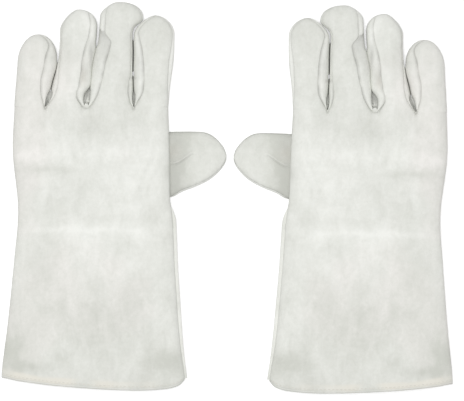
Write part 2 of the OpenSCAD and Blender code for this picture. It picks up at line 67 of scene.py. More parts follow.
# ---- Sizes and colours ----
def length_property(name, description, default):
    return FloatProperty(name=name, description=description, default=default, min=0.0,
                         unit="LENGTH", precision=4)


def colour_property(name, description, default):
    return FloatVectorProperty(name=name, description=description, default=default, size=3,
                               subtype="COLOR", min=0.0, max=1.0)


class GauntletSizes(bpy.types.PropertyGroup):
    """Sizes of one glove as it lies"""

    root: length_property("Root", "From the hem to the crotches of the fingers", 0.2534)
    palm: length_property("Palm", "Width across the palm", 0.1424)
    wrist: length_property("Wrist", "Width at the wrist", 0.1382)
    wrist_at: length_property("Wrist height", "From the hem to the wrist seam", 0.179)
    cuff: length_property("Cuff", "Width of the cuff at the hem", 0.1686)
    mouth: length_property("Mouth", "Height of the cuff's mouth", 0.025)
    hand: length_property("Hand", "Thickness of the hand", 0.027)
    finger: length_property("Finger", "Thickness of the fingers", 0.020)
    side_seam: length_property("Side seam", "Height of the side seams", 0.011)
    leather: length_property("Leather", "Thickness of the leather", 0.0013)
    thumb_reach: length_property("Thumb reach", "How far the thumb stands out", 0.0505)
    thumb_width: length_property("Thumb width", "Width of the thumb's root", 0.059)
    thumb_at: length_property("Thumb height", "From the hem to the thumb's root", 0.171)
    thumb_thick: length_property("Thumb thickness", "Thickness of the thumb", 0.0104)
    spacing: length_property("Pair spacing", "From one glove's centre line to the other's", 0.2407)
    drop: length_property("Pair drop", "How much lower the right-hand glove lies", 0.0036)
    turn: FloatProperty(name="Pair turn", description="How far the right-hand glove is turned",
                        default=math.radians(1.5), subtype="ANGLE")
    middle_x: length_property("Middle X", "From the left glove's centre line to the pair's", 0.120473)
    middle_y: length_property("Middle Y", "From the left glove's hem to the pair's middle", 0.170248)
    groove: length_property("Seam depth", "How deep the turned seams lie", 0.0015)
    groove_width: length_property("Seam width", "How wide a seam's edge rolls in", 0.0026)


class GauntletFinish(bpy.types.PropertyGroup):
    """Colours and finish of the leather, cotton and thread"""

    leather: colour_property("Leather", "The pale split leather", (0.855, 0.862, 0.822))
    shade: colour_property("Leather shade", "Its greyer patches", (0.610, 0.620, 0.570))
    warm: colour_property("Leather warm", "Its warmer patches", (0.860, 0.845, 0.812))
    hem: colour_property("Hem", "The creamy leather along the hem", (0.800, 0.770, 0.690))
    # The crease colour is painted shade for the seams, folds and hollows
    crease: colour_property("Crease", "Grey of the seams and folds", (0.330, 0.330, 0.310))
    cotton: colour_property("Cotton", "The cotton lining", (0.700, 0.640, 0.520))
    thread: colour_property("Thread", "The sewing thread", (0.760, 0.740, 0.680))
    floor: colour_property("Floor", "The table top", (0.820, 0.820, 0.820))
    nap: length_property("Nap", "Height of the suede nap", 0.0004)


# ---- Curves ----
def mix(a, b, t):
    return a + (b - a) * t


def smooth(t):
    t = np.clip(t, 0.0, 1.0)
    return t * t * (3 - 2 * t)


def along(stations, t):
    """Smooth curve through stations (place, value), level beyond both ends."""
    x, y = (np.array(column, float) for column in zip(*stations))
    low = np.maximum(np.arange(len(x)) - 1, 0)
    high = np.minimum(np.arange(len(x)) + 1, len(x) - 1)
    slope = (y[high] - y[low]) / (x[high] - x[low])
    i = np.clip(np.searchsorted(x, t) - 1, 0, len(x) - 2)
    w = x[i + 1] - x[i]
    u = np.clip((t - x[i]) / w, 0.0, 1.0)
    v = 1 - u
    return (y[i] * v * v * (1 + 2 * u) + y[i + 1] * u * u * (3 - 2 * u)
            + w * u * v * (slope[i] * v - slope[i + 1] * u))


def round_end(t, length, power):
    """1 up to t = 0, then a rounded fall to 0 at the given length."""
    u = np.clip(t / length, 0.0, 1.0)
    return np.maximum(1 - u ** power, 0.0) ** (1 / power)


def signed_power(v, power):
    return np.sign(v) * np.abs(v) ** power


def stacked(*axes):
    """One grid of triples from three grids or values."""
    return np.stack(np.broadcast_arrays(*axes), axis=-1)


def spot(points, middle, reach):
    """1 in the middle of an oval spot, fading to 0 round it."""
    away = ((points[..., :2] - np.array(middle)) / np.array(reach)) ** 2
    return np.exp(-away.sum(-1))


def wander(points, size, seed=0.0):
    """Smooth noise from -1 to 1 over points in millimetres, with waves of about the given size."""
    flat = np.asarray(points, float).reshape(-1, 3) / size
    values = [noise.noise(Vector((x + seed, y - seed, z + 2 * seed))) for x, y, z in flat]
    return np.array(values).reshape(np.shape(points)[:-1])


def shifted(grid, amount, size, seeds):
    """A grid's points seen from above, pushed about so that marks drawn by them are uneven."""
    return grid[..., :2] + amount * np.stack([wander(grid, size, seed) for seed in seeds], -1)


def spread_out(x, values, distance):
    """Values along a line, softened the more the further away each row is."""
    spacing = np.abs(np.gradient(x)) + 1e-6
    rows = []
    for row in distance:
        reach = 0.5 * max(float(np.min(row)), 0.0) + 1e-4
        weight = np.exp(-0.5 * ((x[:, None] - x[None, :]) / reach) ** 2) * spacing
        soft = weight @ values / weight.sum(axis=1)
        rows.append(soft if reach > 0.2 else values)
    return np.array(rows)


def line_distance(points, line):
    """Distance of points from a polyline, seen from above."""
    place = points[..., None, :2]
    start, end = line[:-1, :2], line[1:, :2]
    step = end - start
    share = ((place - start) * step).sum(-1) / np.maximum((step ** 2).sum(-1), 1e-9)
    near = start + np.clip(share, 0, 1)[..., None] * step
    return np.linalg.norm(place - near, axis=-1).min(axis=-1)


def running_length(grid):
    """Distance of each point from its row's first point, along the row."""
    steps = np.linalg.norm(np.diff(grid, axis=1), axis=2)
    return np.concatenate([np.zeros((len(grid), 1)), np.cumsum(steps, axis=1)], axis=1)


def edge_distance(grid):
    """Distance of each point from the nearer side edge of a grid."""
    run = running_length(grid)
    return np.minimum(run, run[:, -1:] - run)


def cut(curve, lengths):
    """Points at the given distances along each row, and how far they are from its nearer end."""
    run = running_length(curve)
    rows = [[np.interp(lengths[i], run[i], curve[i, :, k]) for k in range(3)]
            for i in range(len(curve))]
    return np.swapaxes(np.array(rows), 1, 2), np.minimum(lengths, run[:, -1:] - lengths)


# Distances of a panel's columns from its seams, close together where the leather rolls in, and the
# number of columns between them
SEAM_COLUMNS = (0.0, 0.35, 0.8, 1.4, 2.1, 3.0, 4.4)
FINGER_MIDDLE = 17
THUMB_MIDDLE = 70


def panel_columns(curve, middle):
    """Cuts each row of a panel into columns, dense along both seams. Returns the points and
    each one's distance from the nearer seam."""
    total = running_length(curve)[:, -1:]
    edge = np.array(SEAM_COLUMNS)[None, :] * np.minimum(1.0, total / (2.6 * SEAM_COLUMNS[-1]))
    inner = edge[:, -1:] + (total - 2 * edge[:, -1:]) * np.linspace(0, 1, middle + 2)[None, 1:-1]
    return cut(curve, np.concatenate([edge, inner, total - edge[:, ::-1]], axis=1))


def on_table(grid):
    """Keeps a grid's points from sinking below the table."""
    return np.maximum(grid, (-np.inf, -np.inf, 0.0))


def darken(marks, shade):
    """Makes the grey of a panel's creases at least as strong as the given shade."""
    marks[..., CREASE] = np.maximum(marks[..., CREASE], shade)


def surface_normals(grid):
    n = np.cross(np.gradient(grid, axis=1), np.gradient(grid, axis=0))
    return n / np.maximum(np.linalg.norm(n, axis=2, keepdims=True), 1e-9)


# ---- The pattern of a glove ----
# Each finger's width and length in millimetres, its lean towards the thumb in degrees, the place of
# its tip from its left border, and the length and squareness of its left and right shoulders. The
# walls give, by height above the crotches, how far they stand from the border between two fingers,
# and the seams how far the back panel's seam lies inside the wall. The tone is how grey the back is.
FINGERS = {
    "little": dict(
        width=27.5, length=65.2, lean=7.0, tip=21.7, shoulders=((28, 2.0), (21, 2.0)),
        left=((0, 0), (14, 0.9), (28, 2.1), (37, 2.7)),
        right=((0, 0), (12, 3.3), (24, 6.3), (36, 10.1), (44, 11)),
        left_seam=None,
        right_seam=((0, 0), (4, 2.0), (10, 4.3), (22, 7.5), (34, 8.9), (45, 8.8), (53, 4.8),
                    (58, 2.8), (65, 2.4)),
        tone=0.30),
    "ring": dict(
        width=38.0, length=87.8, lean=8.0, tip=30.4, shoulders=((18, 1.45), (16, 2.1)),
        left=((0, 1.6), (4, 4.0), (10, 6.9), (20, 9.2), (30, 11.1), (46, 13.2), (60, 14.1)),
        right=((0, -1.9), (5, -2.2), (11, -1.7), (17, 2), (23, 3.5), (35, 4.1), (46, 6.3),
               (60, 8.7), (72, 9.6)),
        left_seam=((0, 0), (8, 1.4), (18, 1.7), (30, 0.6), (80, 0.4)),
        right_seam=((0, 2.0), (2, 3.3), (6.5, 5.4), (12.7, 6.0), (23, 8.4), (33, 7.4), (50, 8),
                    (62, 5.9), (76, 4.4), (81, 3.0), (84.5, 0.6), (87.5, 0)), tone=0.34),
    "middle": dict(
        width=41.0, length=94.6, lean=5.0, tip=27.7, shoulders=((12.6, 1.45), (14.6, 2.25)),
        left=((0, 1.6), (15, 3.6), (30, 5.5), (39, 6.3), (54, 9.9), (69, 11.6), (80, 12.3)),
        right=((0, 1.2), (8, 0.7), (20, 0.5), (33, 0.3), (50, 0.5), (63.4, 0.4), (68.4, 1),
               (72.4, 3.3), (75.4, 7.3), (78.4, 10.2)),
        left_seam=((0, 1.7), (2.2, 3.3), (10, 6.2), (20, 7.8), (35, 9.6), (56, 10.9), (58.6, 10.3),
                   (62, 7.2), (65.4, 4.4), (70, 3.8), (80, 3.8), (85, 3.0), (89, 0.6), (94, 0)),
        right_seam=((0, 0.4), (4, 2.0), (15, 2.6), (22, 1.8), (30, 0.5), (85, 0.4)),
        tone=0.52),
    "index": dict(
        width=33.0, length=82.4, lean=1.5, tip=21.1, shoulders=((16.4, 1.45), (16.4, 1.8)),
        left=((0, 2.6), (13, 2.7), (25, 2.2), (42, 2.6), (51, 2.6), (63.4, 1.9), (67.4, 2.3)),
        right=((0, 0), (19, 1.7), (37, 4.4), (51, 5.3), (65, 5.5)),
        left_seam=((0, 0), (5, 2.9), (9, 5.0), (13, 6.6), (18, 7.4), (26, 7.8), (35, 7.5),
                   (53, 5.4), (69, 2.4), (82, 2)),
        right_seam=None, tone=0.58),
}
# How far the index finger's palm panel comes round its free side and shows beside the back panel
INDEX_WRAP = ((0, 0), (12, 0.5), (26, 1.6), (38, 2.7), (56, 1.2), (66, 0.6), (78, 0.8))
# Where the strips of neighbouring fingers press together, above the crotches: share of the gap
# that the first strip fills, from, to, how low down they meet, and a place where they part again
TOUCHING = ((0.25, 13, 41, 2.5, None), (0.5, 17, 55, 2.2, None), (0.5, 12, 61, 5.0, 29.5))
# How far each of them presses past the place where they meet
PRESSED = 0.15
NAMES = tuple(FINGERS)
# The four roots sit this far to the little finger's side of the centre line
KNUCKLE_SHIFT = -2.65
# Start and end of the leather that bends with a finger, above the crotch line, and with the
# thumb, beyond its root
FINGER_BEND = (2.5, 31.0)
THUMB_BEND = (-3.0, 20.0)
# Squareness of a section: across it, over its back, under its palm side, and the hand's own
SIDE_ROUND = 2.7
BACK_ROUND = 2.3
PALM_ROUND = 3.6
HAND_ROUND = 3.0
# Share of the palm's half width that lies flat on the table
PALM_FLAT = 0.36
# A finger's shape grows out of the hand's over this length above the crotch line
ROOT_FADE = 15.0
# From its root to its tip a finger gets this much thinner, and its seams come down this much
TIP_THINNER = 1.8
SEAM_FALL = 1.5
# The fingertips are rounded off over this length
TIP_LENGTH = 15.0
# Height of the back at the wrist
WRIST_HEIGHT = 22.5
# Depth of each crotch below the crotch line on the back, and its reach above it on the palm
CROTCH_DIP = (2.2, 1.6, 2.6)
CROTCH_REACH = (12.0, 17.0, 12.0)
# How far the leather rolls over the crotch before it turns down, and how round the crotch is
CROTCH_ROLL = (1.6, 4.2, 1.6)
CROTCH_ROUND = (1.2, 2.4, 1.4)
CROTCHES = 3
CROTCH_STEPS = 8
# Columns of a finger's panel, and from one panel to the next along the hand's last row
PANEL_COLUMNS = FINGER_MIDDLE + 2 * len(SEAM_COLUMNS)
FINGER_STEP = PANEL_COLUMNS + CROTCH_STEPS - 1
# How far the webs reach in behind the strips
WEB_TUCK = 1.6
# The finger that each crotch's web is named after
WEB_FINGERS = ("little", "ring", "index")
STRIP_COLUMNS = 15
# Points that a panel's and a strip's rows are drawn with before they are cut into columns
PANEL_SAMPLES = 120
STRIP_SAMPLES = 60
# First rows of a finger and of the hand, from their seam, and the distance between further ones
FINGER_ROWS = (0.0, 0.5, 1.2, 2.2, 3.4, 4.8, 6.4)
FINGER_ROW_STEP = 1.4
HAND_ROWS = (0.0, 0.5, 1.1, 1.9, 3.0, 4.4, 6.2, 8.4, 11.0)
HAND_ROW_STEP = 1.6
# Last rows of the hand, counted back from the seam, and number and span of those at a fingertip
HAND_LAST_ROWS = (2.2, 1.2, 0.5, 0.0)
TIP_ROWS = 13
TIP_SPAN = 16.0
# The last row stops this far short of the tip
TIP_GAP = 0.2
# Heights of the crotches on the back and on the palm
CROTCH_TOP = 15.6
CROTCH_LOW = 3.3
# The crowns of the fingers fade into the hand over this length
KNUCKLE_FADE = 34.0
# The dips of the crotches, and what the fingers' own first rows add, fade into the back of the hand
# over this length
CROTCH_FADE = 9.0
# Above this height the outside of the hand faces up
TURN_HEIGHT = 9.5
# The wrist seam of the palm side slants by this much to each side
WRIST_SLANT = 11.0
# How far the welt of the thumb's side stands out of its seam
WELT_OUT = 3.6
# A distance that is further than anything reaches
FAR = 99.0
# Line of the hem across the cuff, and the length over which the rows above it straighten
HEM_LINE = ((-1, 7.5), (-0.8, 4), (-0.35, -0.6), (0.4, -4.4), (0.8, -3), (0.94, 0.5), (1, 6))
HEM_FADE = 70.0
# The hem row of the back lies this far above the front's
HEM_STEP = 3.0
# How far the back of the cuff sinks at its hem
HEM_DROOP = 6.0
# Edges of the thumb, by the share of its reach: how far they draw in from the root's two ends, and
# the height of the seam between its panels
THUMB_LOW = ((0, 0), (0.2, 6.2), (0.42, 10.4), (0.62, 15), (0.78, 20.4), (0.9, 26.5),
             (0.97, 31.6), (1, 35.6))
THUMB_HIGH = ((0, 0), (0.42, 0), (0.62, -0.8), (0.78, -4.8), (0.9, -11), (0.97, -16.5), (1, -21.4))
THUMB_SEAM = 5.0
# Rows of the thumb that lie inside the hand, by the share of its reach
THUMB_INSIDE = (-0.16, -0.1, -0.04)
# The lower panel stands out most this far from the seam
THUMB_ROLL = 1.8
# Oblique fold on the middle finger's strip, from the outside to the seam
MIDDLE_FOLD = ((5.5, 322.8), (16.5, 311.8))
# Fold on the back of the thumb, from the hand outwards: (out, along) in millimetres
THUMB_FOLD = ((-2.0, 28.5), (6.0, 30.0), (19.0, 38.5))
# Its groove, a second one above it and the ridge between them: distance above the fold and width
THUMB_CREASES = ((0.0, 1.0), (3.2, 0.8), (1.9, 1.0))
# Brownish, darker patch on the thumb near the hand: middle, from the low end of its root, and reach
THUMB_BROWN_PATCH = ((3, 41), (5.5, 7))


def across(root):
    """Place of each column across the hand, from -1 to 1."""
    low, high = sorted((root[0, 3], root[-1, 3]))
    return (2 * root[:, 3] - low - high) / (high - low)


def back_bow(u):
    """Height of the hand's back across it, from 1 in the middle to 0 at the side seams."""
    return (1 - np.abs(u) ** HAND_ROUND) ** (1 / BACK_ROUND)


def palm_bow(u):
    """The same downwards for the palm, which lies flat in the middle."""
    return (1 - (np.maximum(0, np.abs(u) - PALM_FLAT) / (1 - PALM_FLAT)) ** 4.6) ** (1 / 2.6)


def seam_dark(inset):
    """How dark the painted shade of a seam is: faint at a finger's side, plain where it lies further
    in on top.
    """
    return mix(0.12, 0.62, smooth((inset - 0.6) / 2.4))


def strip_turn(v):
    """Angle by which a strip has turned over beside a crotch, from its back seam (0) to its palm
    seam (1)."""
    return np.pi / 2 * np.minimum(v / 0.5, 1.0)


def strip_fall(v, roll=0.0):
    """Share of the height that a strip has come down beside a crotch: it rolls over, then drops."""
    return roll * (1 - np.cos(strip_turn(v))) + 2 * (1 - roll) * np.maximum(v - 0.5, 0.0)


class Pattern:
    """The shape of one glove in millimetres: X towards the thumb, Y towards the fingertips."""

    def __init__(self, sizes):
        for name in ("root", "palm", "wrist", "wrist_at", "cuff", "mouth", "hand", "finger",
                     "side_seam", "leather", "thumb_reach", "thumb_width", "thumb_at",
                     "thumb_thick", "groove", "groove_width"):
            setattr(self, name, getattr(sizes, name) / MM)
        widths = [FINGERS[name]["width"] for name in NAMES]
        ends = np.concatenate([[0.0], np.cumsum(widths)])
        self.border = ends - ends[-1] / 2 + KNUCKLE_SHIFT

    # Fingers
    def rows(self, name):
        """Heights of a finger's rows above the crotch line."""
        length = FINGERS[name]["length"]
        body = np.arange(8.2, length - TIP_SPAN - 1, FINGER_ROW_STEP)
        t = np.linspace(0, 1, TIP_ROWS)
        tip = length - TIP_SPAN * (1 - np.sin(np.pi / 2 * t)) - TIP_GAP * t
        return np.concatenate([FINGER_ROWS, body, tip])

    def wall(self, name, right, h):
        """A finger's left or right side, seen from above."""
        i = NAMES.index(name) + (1 if right else 0)
        return self.border[i] + along(FINGERS[name]["right" if right else "left"], h)

    def outline(self, name, right, h):
        """The same side, drawn in to the tip by its rounded shoulder."""
        spec = FINGERS[name]
        length, power = spec["shoulders"][1 if right else 0]
        start = spec["length"] - length
        tip = self.border[NAMES.index(name)] + spec["tip"]
        return mix(tip, self.wall(name, right, np.minimum(h, start)),
                   round_end(h - start, length, power))

    def row_slope(self, name, h):
        """How much a finger's rows are tilted, so that they lie square to its lean."""
        spec = FINGERS[name]
        return math.tan(math.radians(spec["lean"])) * smooth(h / 16) * (1 - h / spec["length"])

    def section(self, name, h):
        """Middle and half width of a finger's row."""
        half = (self.outline(name, True, h) - self.outline(name, False, h)) / 2
        rise = half * self.row_slope(name, h)
        left = self.outline(name, False, h + rise)
        right = self.outline(name, True, h - rise)
        return (left + right) / 2, (right - left) / 2

    def seam_height(self, name, h):
        return self.side_seam - SEAM_FALL * h / FINGERS[name]["length"]

    def skin(self, name, h, a):
        """Skin of a finger at height h and angle a: 0 at the right wall, 90 degrees on the back."""
        length = FINGERS[name]["length"]
        middle, half = self.section(name, h)
        seam = self.seam_height(name, h)
        end = round_end(h - length + TIP_LENGTH, TIP_LENGTH + TIP_GAP, 2.2)
        over = (self.finger - seam - TIP_THINNER * h / length) * end
        under = seam * mix(0.45, 1.0, end) * end ** 0.5
        x = half * signed_power(np.cos(a), 2 / SIDE_ROUND)
        z = np.where(np.sin(a) >= 0, over * np.abs(np.sin(a)) ** (2 / BACK_ROUND),
                     -under * np.abs(np.sin(a)) ** (2 / PALM_ROUND))
        return stacked(middle + x, self.root + h - x * self.row_slope(name, h), seam + z)

    def seam_inset(self, name, right, back, h):
        """How far a finger panel's seam lies inside the wall."""
        stations = FINGERS[name]["right_seam" if right else "left_seam"]
        if stations is None:
            wrap = along(INDEX_WRAP, h) if name == "index" else np.zeros_like(h)
            return wrap if back else -wrap
        if back:
            return along(stations, h)
        return along(((0, 0), (8, 3), (FINGERS[name]["length"], 2.4)), h)

    def seam_shade(self, name, h, x):
        """How dark the painted shade in the nearer seam of a finger's back is: plain on top, faint at
        the side.
        """
        middle = self.section(name, h)[0]
        left = self.seam_inset(name, False, True, h)
        right = self.seam_inset(name, True, True, h)
        at_tip = smooth((h - FINGERS[name]["length"] + 9) / 8)
        return seam_dark(np.where(x < middle, left, right)) * mix(1, 0.35, at_tip)

    def seam_angle(self, name, right, back, h):
        """Angle from the wall to a finger panel's seam."""
        inset = self.seam_inset(name, right, back, h)
        half = self.section(name, h)[1]
        shrunk = np.abs(inset) / np.maximum(half, 0.01)
        angle = np.sign(inset) * np.arccos(np.clip(1 - shrunk, 0.0, 1.0) ** (SIDE_ROUND / 2))
        return angle if back else -angle

    def finger_curve(self, name, back):
        """Rows of a finger's back or palm panel, from seam to seam, and fading into the hand."""
        h = self.rows(name)[:, None]
        t = np.linspace(0, 1, PANEL_SAMPLES)[None, :]
        right = self.seam_angle(name, True, back, h)
        left = self.seam_angle(name, False, back, h)
        start, end = (np.pi - left, right) if back else (right, -np.pi - left)
        finger = self.skin(name, h, mix(start, end, t))
        x_left = self.wall(name, False, h) + self.seam_inset(name, False, back, h)
        x_right = self.wall(name, True, h) - self.seam_inset(name, True, back, h)
        v = np.sin(np.pi / 2 * (2 * t - 1))
        v = v if back else -v
        x = mix(x_left, x_right, (v + 1) / 2)
        outer = np.where(v < 0, name == "little", name == "index")
        edge = np.where(outer, self.side_seam, CROTCH_TOP if back else CROTCH_LOW)
        outer_bow = (1 - np.abs(v) ** SIDE_ROUND) ** (1 / (BACK_ROUND if back else PALM_ROUND))
        inner_bow = (1 - np.abs(v) ** (2.4 if back else 4)) ** 0.8
        z = mix(edge, self.finger if back else 0.0, np.where(outer, outer_bow, inner_bow))
        hand = stacked(x, self.root + h, z)
        return mix(hand, finger, smooth(h / ROOT_FADE)[..., None])

    def strip_curve(self, name, right):
        """Rows of the strip along one side of a finger, clockwise seen from the wrist."""
        h = self.rows(name)[:, None]
        v = np.linspace(0, 1, STRIP_SAMPLES)[None, :]
        if not right:
            v = v[:, ::-1]
        top = self.seam_angle(name, right, True, h)
        low = self.seam_angle(name, right, False, h)
        angle = mix(top, low, v)
        finger = self.skin(name, h, angle if right else np.pi - angle)
        inset = (1 - np.sin(strip_turn(v))) * self.seam_inset(name, right, True, h)
        inset = inset + v ** 2 * self.seam_inset(name, right, False, h)
        x = self.wall(name, right, h) + (-inset if right else inset)
        z = mix(CROTCH_TOP, CROTCH_LOW, strip_fall(v, 0.3 * smooth(h / 5)))
        strip = mix(stacked(x, self.root + h, z), finger, smooth(h / ROOT_FADE)[..., None])
        gap = NAMES.index(name) - (0 if right else 1)
        return self.touching(strip, gap, right, v) if 0 <= gap < CROTCHES else strip

    def touching(self, strip, gap, right, v):
        """Swells a strip until it meets the next finger's strip."""
        share, start, end, low, parted = TOUCHING[gap]
        h = strip[..., 1] - self.root
        near = self.wall(NAMES[gap], True, h)
        far = self.wall(NAMES[gap + 1], False, h)
        sign = 1 if right else -1
        room = sign * (mix(near, far, share) - strip[..., 0]) + PRESSED
        swell = np.sin(np.pi * v ** low) ** 0.7
        reach = np.where(swell > 0.5, room / np.maximum(swell, 0.5), FAR).min(axis=1, keepdims=True)
        held = smooth((h - start) / 7 + 0.5) * smooth((end - h) / 7 + 0.5)
        if parted:
            held = held * (1 - np.exp(-((h - parted) / 1.7) ** 2))
        strip[..., 0] += sign * np.maximum(reach, 0) * swell * held
        return strip

    def hand_inward(self, points, u):
        """Direction from the hand's outside to its inside."""
        side = signed_power(np.clip(u, -1, 1), 12)
        facing = np.where(points[..., 2] > TURN_HEIGHT, 1.0, -1.0)
        return stacked(-side, 0.0, -facing * np.sqrt(1 - side ** 2))

    def tip_closed(self, name, grid):
        """Brings the last row of a finger's panel together in one point."""
        length = FINGERS[name]["length"]
        end = np.array([length - TIP_GAP])
        grid[-1] = (self.section(name, end)[0][0], self.root + length - 0.1,
                    self.seam_height(name, length) + 0.3)
        return grid

    def finger_inward(self, name, h, points):
        """Direction from a finger's outside to its inside, turning into the hand's at its root."""
        left, right = self.border[0], self.border[-1]
        u = (2 * points[..., 0] - left - right) / (right - left)
        radial = stacked(self.section(name, h)[0] - points[..., 0], 0.0,
                         self.seam_height(name, h) - points[..., 2])
        radial = radial / np.maximum(np.linalg.norm(radial, axis=-1, keepdims=True), 0.1)
        return mix(self.hand_inward(points, u), radial, smooth(h / ROOT_FADE)[..., None])

    # Hand and cuff
    def near_root(self, y, reach):
        """1 at the crotch line, falling to 0 over the given length towards the hem."""
        return smooth((y - self.root + reach) / reach)

    def left_side(self, y):
        """Side of the cuff and hand on the little finger's side, seen from above."""
        w = self.wrist_at
        return along(((0, -self.cuff / 2), (0.22 * w, 4.2 - self.cuff / 2),
                      (0.64 * w, -self.wrist / 2 - 3.5), (0.89 * w, -self.wrist / 2),
                      (1.19 * w, -self.palm / 2 - 2.6), (self.root, self.border[0])), y)

    def right_side(self, y):
        """The same on the thumb's side."""
        w = self.wrist_at
        return along(((0, self.cuff / 2), (0.2 * w, self.cuff / 2 - 4.2),
                      (0.6 * w, self.wrist / 2 + 6.2), (0.8 * w, self.wrist / 2 + 4.4),
                      (0.94 * w, self.wrist / 2), (1.14 * w, self.palm / 2 - 2.6),
                      (self.root, self.border[-1])), y)

    def welt_room(self, y):
        """How far the panels stay back from the thumb's side of the cuff, where the welt shows."""
        return 2.0 * smooth((self.thumb_at - 6 - y) / 30)

    def top(self, y):
        """Height of the back along the middle of the glove."""
        thumb = self.thumb_at + self.thumb_width / 2
        return along(((0, self.mouth - HEM_DROOP), (0.12 * self.wrist_at, self.mouth - 1.5),
                      (0.9 * self.wrist_at, WRIST_HEIGHT), (thumb, self.hand),
                      (self.root, self.finger)), y)

    def thumb_window(self, y):
        """How far the palm's edge drops to the thumb's lower panel."""
        end = self.thumb_at + self.thumb_width
        return 0.88 * smooth((y - self.thumb_at + 0.5) / 4.5) * smooth((end + 0.5 - y) / 4.5)

    def web(self, f, start, end, k, v):
        """Surface of the crotch between finger f and the next, from side to side (k) and from
        the back to the palm (v)."""
        aside = np.abs(2 * k - 1)
        bowl = 1 - aside ** CROTCH_ROUND[f]
        roll = np.sqrt(1 - (1 - np.minimum(v / 0.35, 1)) ** 2)
        ahead = CROTCH_ROLL[f] * roll + CROTCH_REACH[f] * smooth((v - 0.7) / 0.3)
        fall = mix(0.6 * v, smooth((v - 0.1) / 0.6), 0.8)
        point = mix(start, end, k[..., None])
        point[..., 1] += ahead * (1 - aside ** mix(CROTCH_ROUND[f], 12, smooth(v * 1.5)))
        point[..., 1] -= CROTCH_DIP[f] * bowl * (1 - smooth(v))
        drop = (fall - strip_fall(v)) * np.sqrt(np.maximum(bowl, 0))
        point[..., 2] += 1.6 * np.sin(np.pi * np.clip((v - 0.7) / 0.3, 0, 1))
        point[..., 2] += (CROTCH_LOW - CROTCH_TOP) * drop
        h = np.maximum(point[..., 1] - self.root, 0)
        left = self.wall(NAMES[f], True, h) - self.wall(NAMES[f], True, 0.0)
        right = self.wall(NAMES[f + 1], False, h) - self.wall(NAMES[f + 1], False, 0.0)
        tucked = WEB_TUCK * smooth((v - 0.45) / 0.2) * (1 - smooth((v - 0.8) / 0.2))
        point[..., 0] += mix(left, right, k) + (2 * k - 1) * tucked
        return point

    def root_row(self, back):
        """The hand's last row: the first rows of the four finger panels and the crotches between,
        as X, Y, Z and the place across the hand."""
        parts = []
        rows = [panel_columns(self.finger_curve(name, back), FINGER_MIDDLE)[0][0]
                for name in (NAMES if back else NAMES[::-1])]
        for i, row in enumerate(rows):
            parts.append(np.column_stack([row, row[:, 0]]))
            if i < CROTCHES:
                f = i if back else CROTCHES - 1 - i
                start, end = row[-1], rows[i + 1][0]
                k = np.linspace(0, 1, CROTCH_STEPS + 1)[1:-1]
                web = self.web(f, start, end, k, 0.0 if back else 1.0)
                parts.append(np.column_stack([web, mix(start[0], end[0], k)]))
        return np.concatenate(parts)

    def hand_surface(self, back, root_row, rows, hem):
        """Grid of the hand from the rows' heights, one column for each point of the root row."""
        u = across(root_row)
        shape = np.broadcast_shapes(rows.shape, u.shape)
        rows = np.broadcast_to(rows, shape)
        u = np.broadcast_to(np.clip(u, -1, 1), shape)
        near = self.near_root(rows, KNUCKLE_FADE)
        left, right = self.left_side(rows), self.right_side(rows) - self.welt_room(rows)
        x = (left + right) / 2 + (right - left) / 2 * u
        x = x + (root_row[None, :, 0] - root_row[None, :, 3]) * near ** 2
        flat = self.hand_height(np.full_like(rows[-1:], self.root), u[-1:], back)
        raised = spread_out(root_row[:, 0], root_row[:, 2] - flat[0], self.root - rows)
        pull = near ** 2
        if back:
            pull = self.near_root(rows, CROTCH_FADE)
        y = rows + (root_row[None, :, 1] - self.root) * pull
        level = rows
        if back:
            # The rows that dip round the crotches take the height of the place that they dip to
            level = rows + (y - rows) * (1 - self.near_root(rows, 2.5))
            columns = [np.interp(level[:, j], rows[:, j], raised[:, j]) for j in range(len(u[0]))]
            raised = np.array(columns).T
        # What the fingers add dies out at the side seams, except in the last row itself
        within = mix(1, 1 - np.abs(u) ** 18, smooth((self.root - rows) / 1.5))
        z = self.hand_height(level, u, back) + near * raised * within
        step = along(HEM_LINE, u) + (HEM_STEP if back else 0)
        return stacked(x, y + hem * step * (1 - smooth(rows / HEM_FADE)), z)

    def hand_height(self, y, u, back):
        """Height of the hand's outside at row y and place u across it."""
        if back:
            seam = self.side_seam + 0.4
            return seam + (self.top(y) - seam) * back_bow(u)
        drop = np.where(u > 0, self.thumb_window(y), 0)
        return (self.side_seam - 0.4) * (1 - palm_bow(u)) * (1 - drop)

    # Thumb
    def thumb_x(self):
        """Where the thumb begins, just outside the hand."""
        ends = np.array([self.thumb_at, self.thumb_at + self.thumb_width])
        return float(self.right_side(ends).max()) + 0.4

    def thumb_curve(self, upper, samples=PANEL_SAMPLES):
        """Rows of a thumb panel, from the hand outwards."""
        tip = 0.9 + 0.1 * np.sin(np.pi / 2 * np.linspace(0, 1, 9)[1:])
        t = np.concatenate([THUMB_INSIDE, np.linspace(0, 0.9, 64), tip])[:, None]
        along_out = np.clip(t, 0, 1)
        low = self.thumb_at + along(THUMB_LOW, along_out)
        high = self.thumb_at + self.thumb_width + along(THUMB_HIGH, along_out)
        flat = round_end(along_out - 0.5, 0.502, 2.2)
        a = np.linspace(0, np.pi, samples)[None, :]
        half = (high - low) / 2 * (1 if upper else -1)
        y = (low + high) / 2 + half * signed_power(np.cos(a), 2 / SIDE_ROUND)
        rise = (self.thumb_thick - THUMB_SEAM) * flat if upper else -THUMB_SEAM * mix(0.35, 1, flat)
        z = THUMB_SEAM + rise * np.sin(a) ** (2 / (BACK_ROUND if upper else PALM_ROUND))
        x = self.thumb_x() + t * self.thumb_reach
        if upper:
            under = smooth((self.right_side(y) + 1.3 - x) / 3) * np.sin(a) ** 0.25
            z = mix(z, np.maximum(z, self.side_seam + 1.2), under)
        else:
            z = z + np.where(t < 0, 0.8, 0.0)
        return stacked(x, y, z)

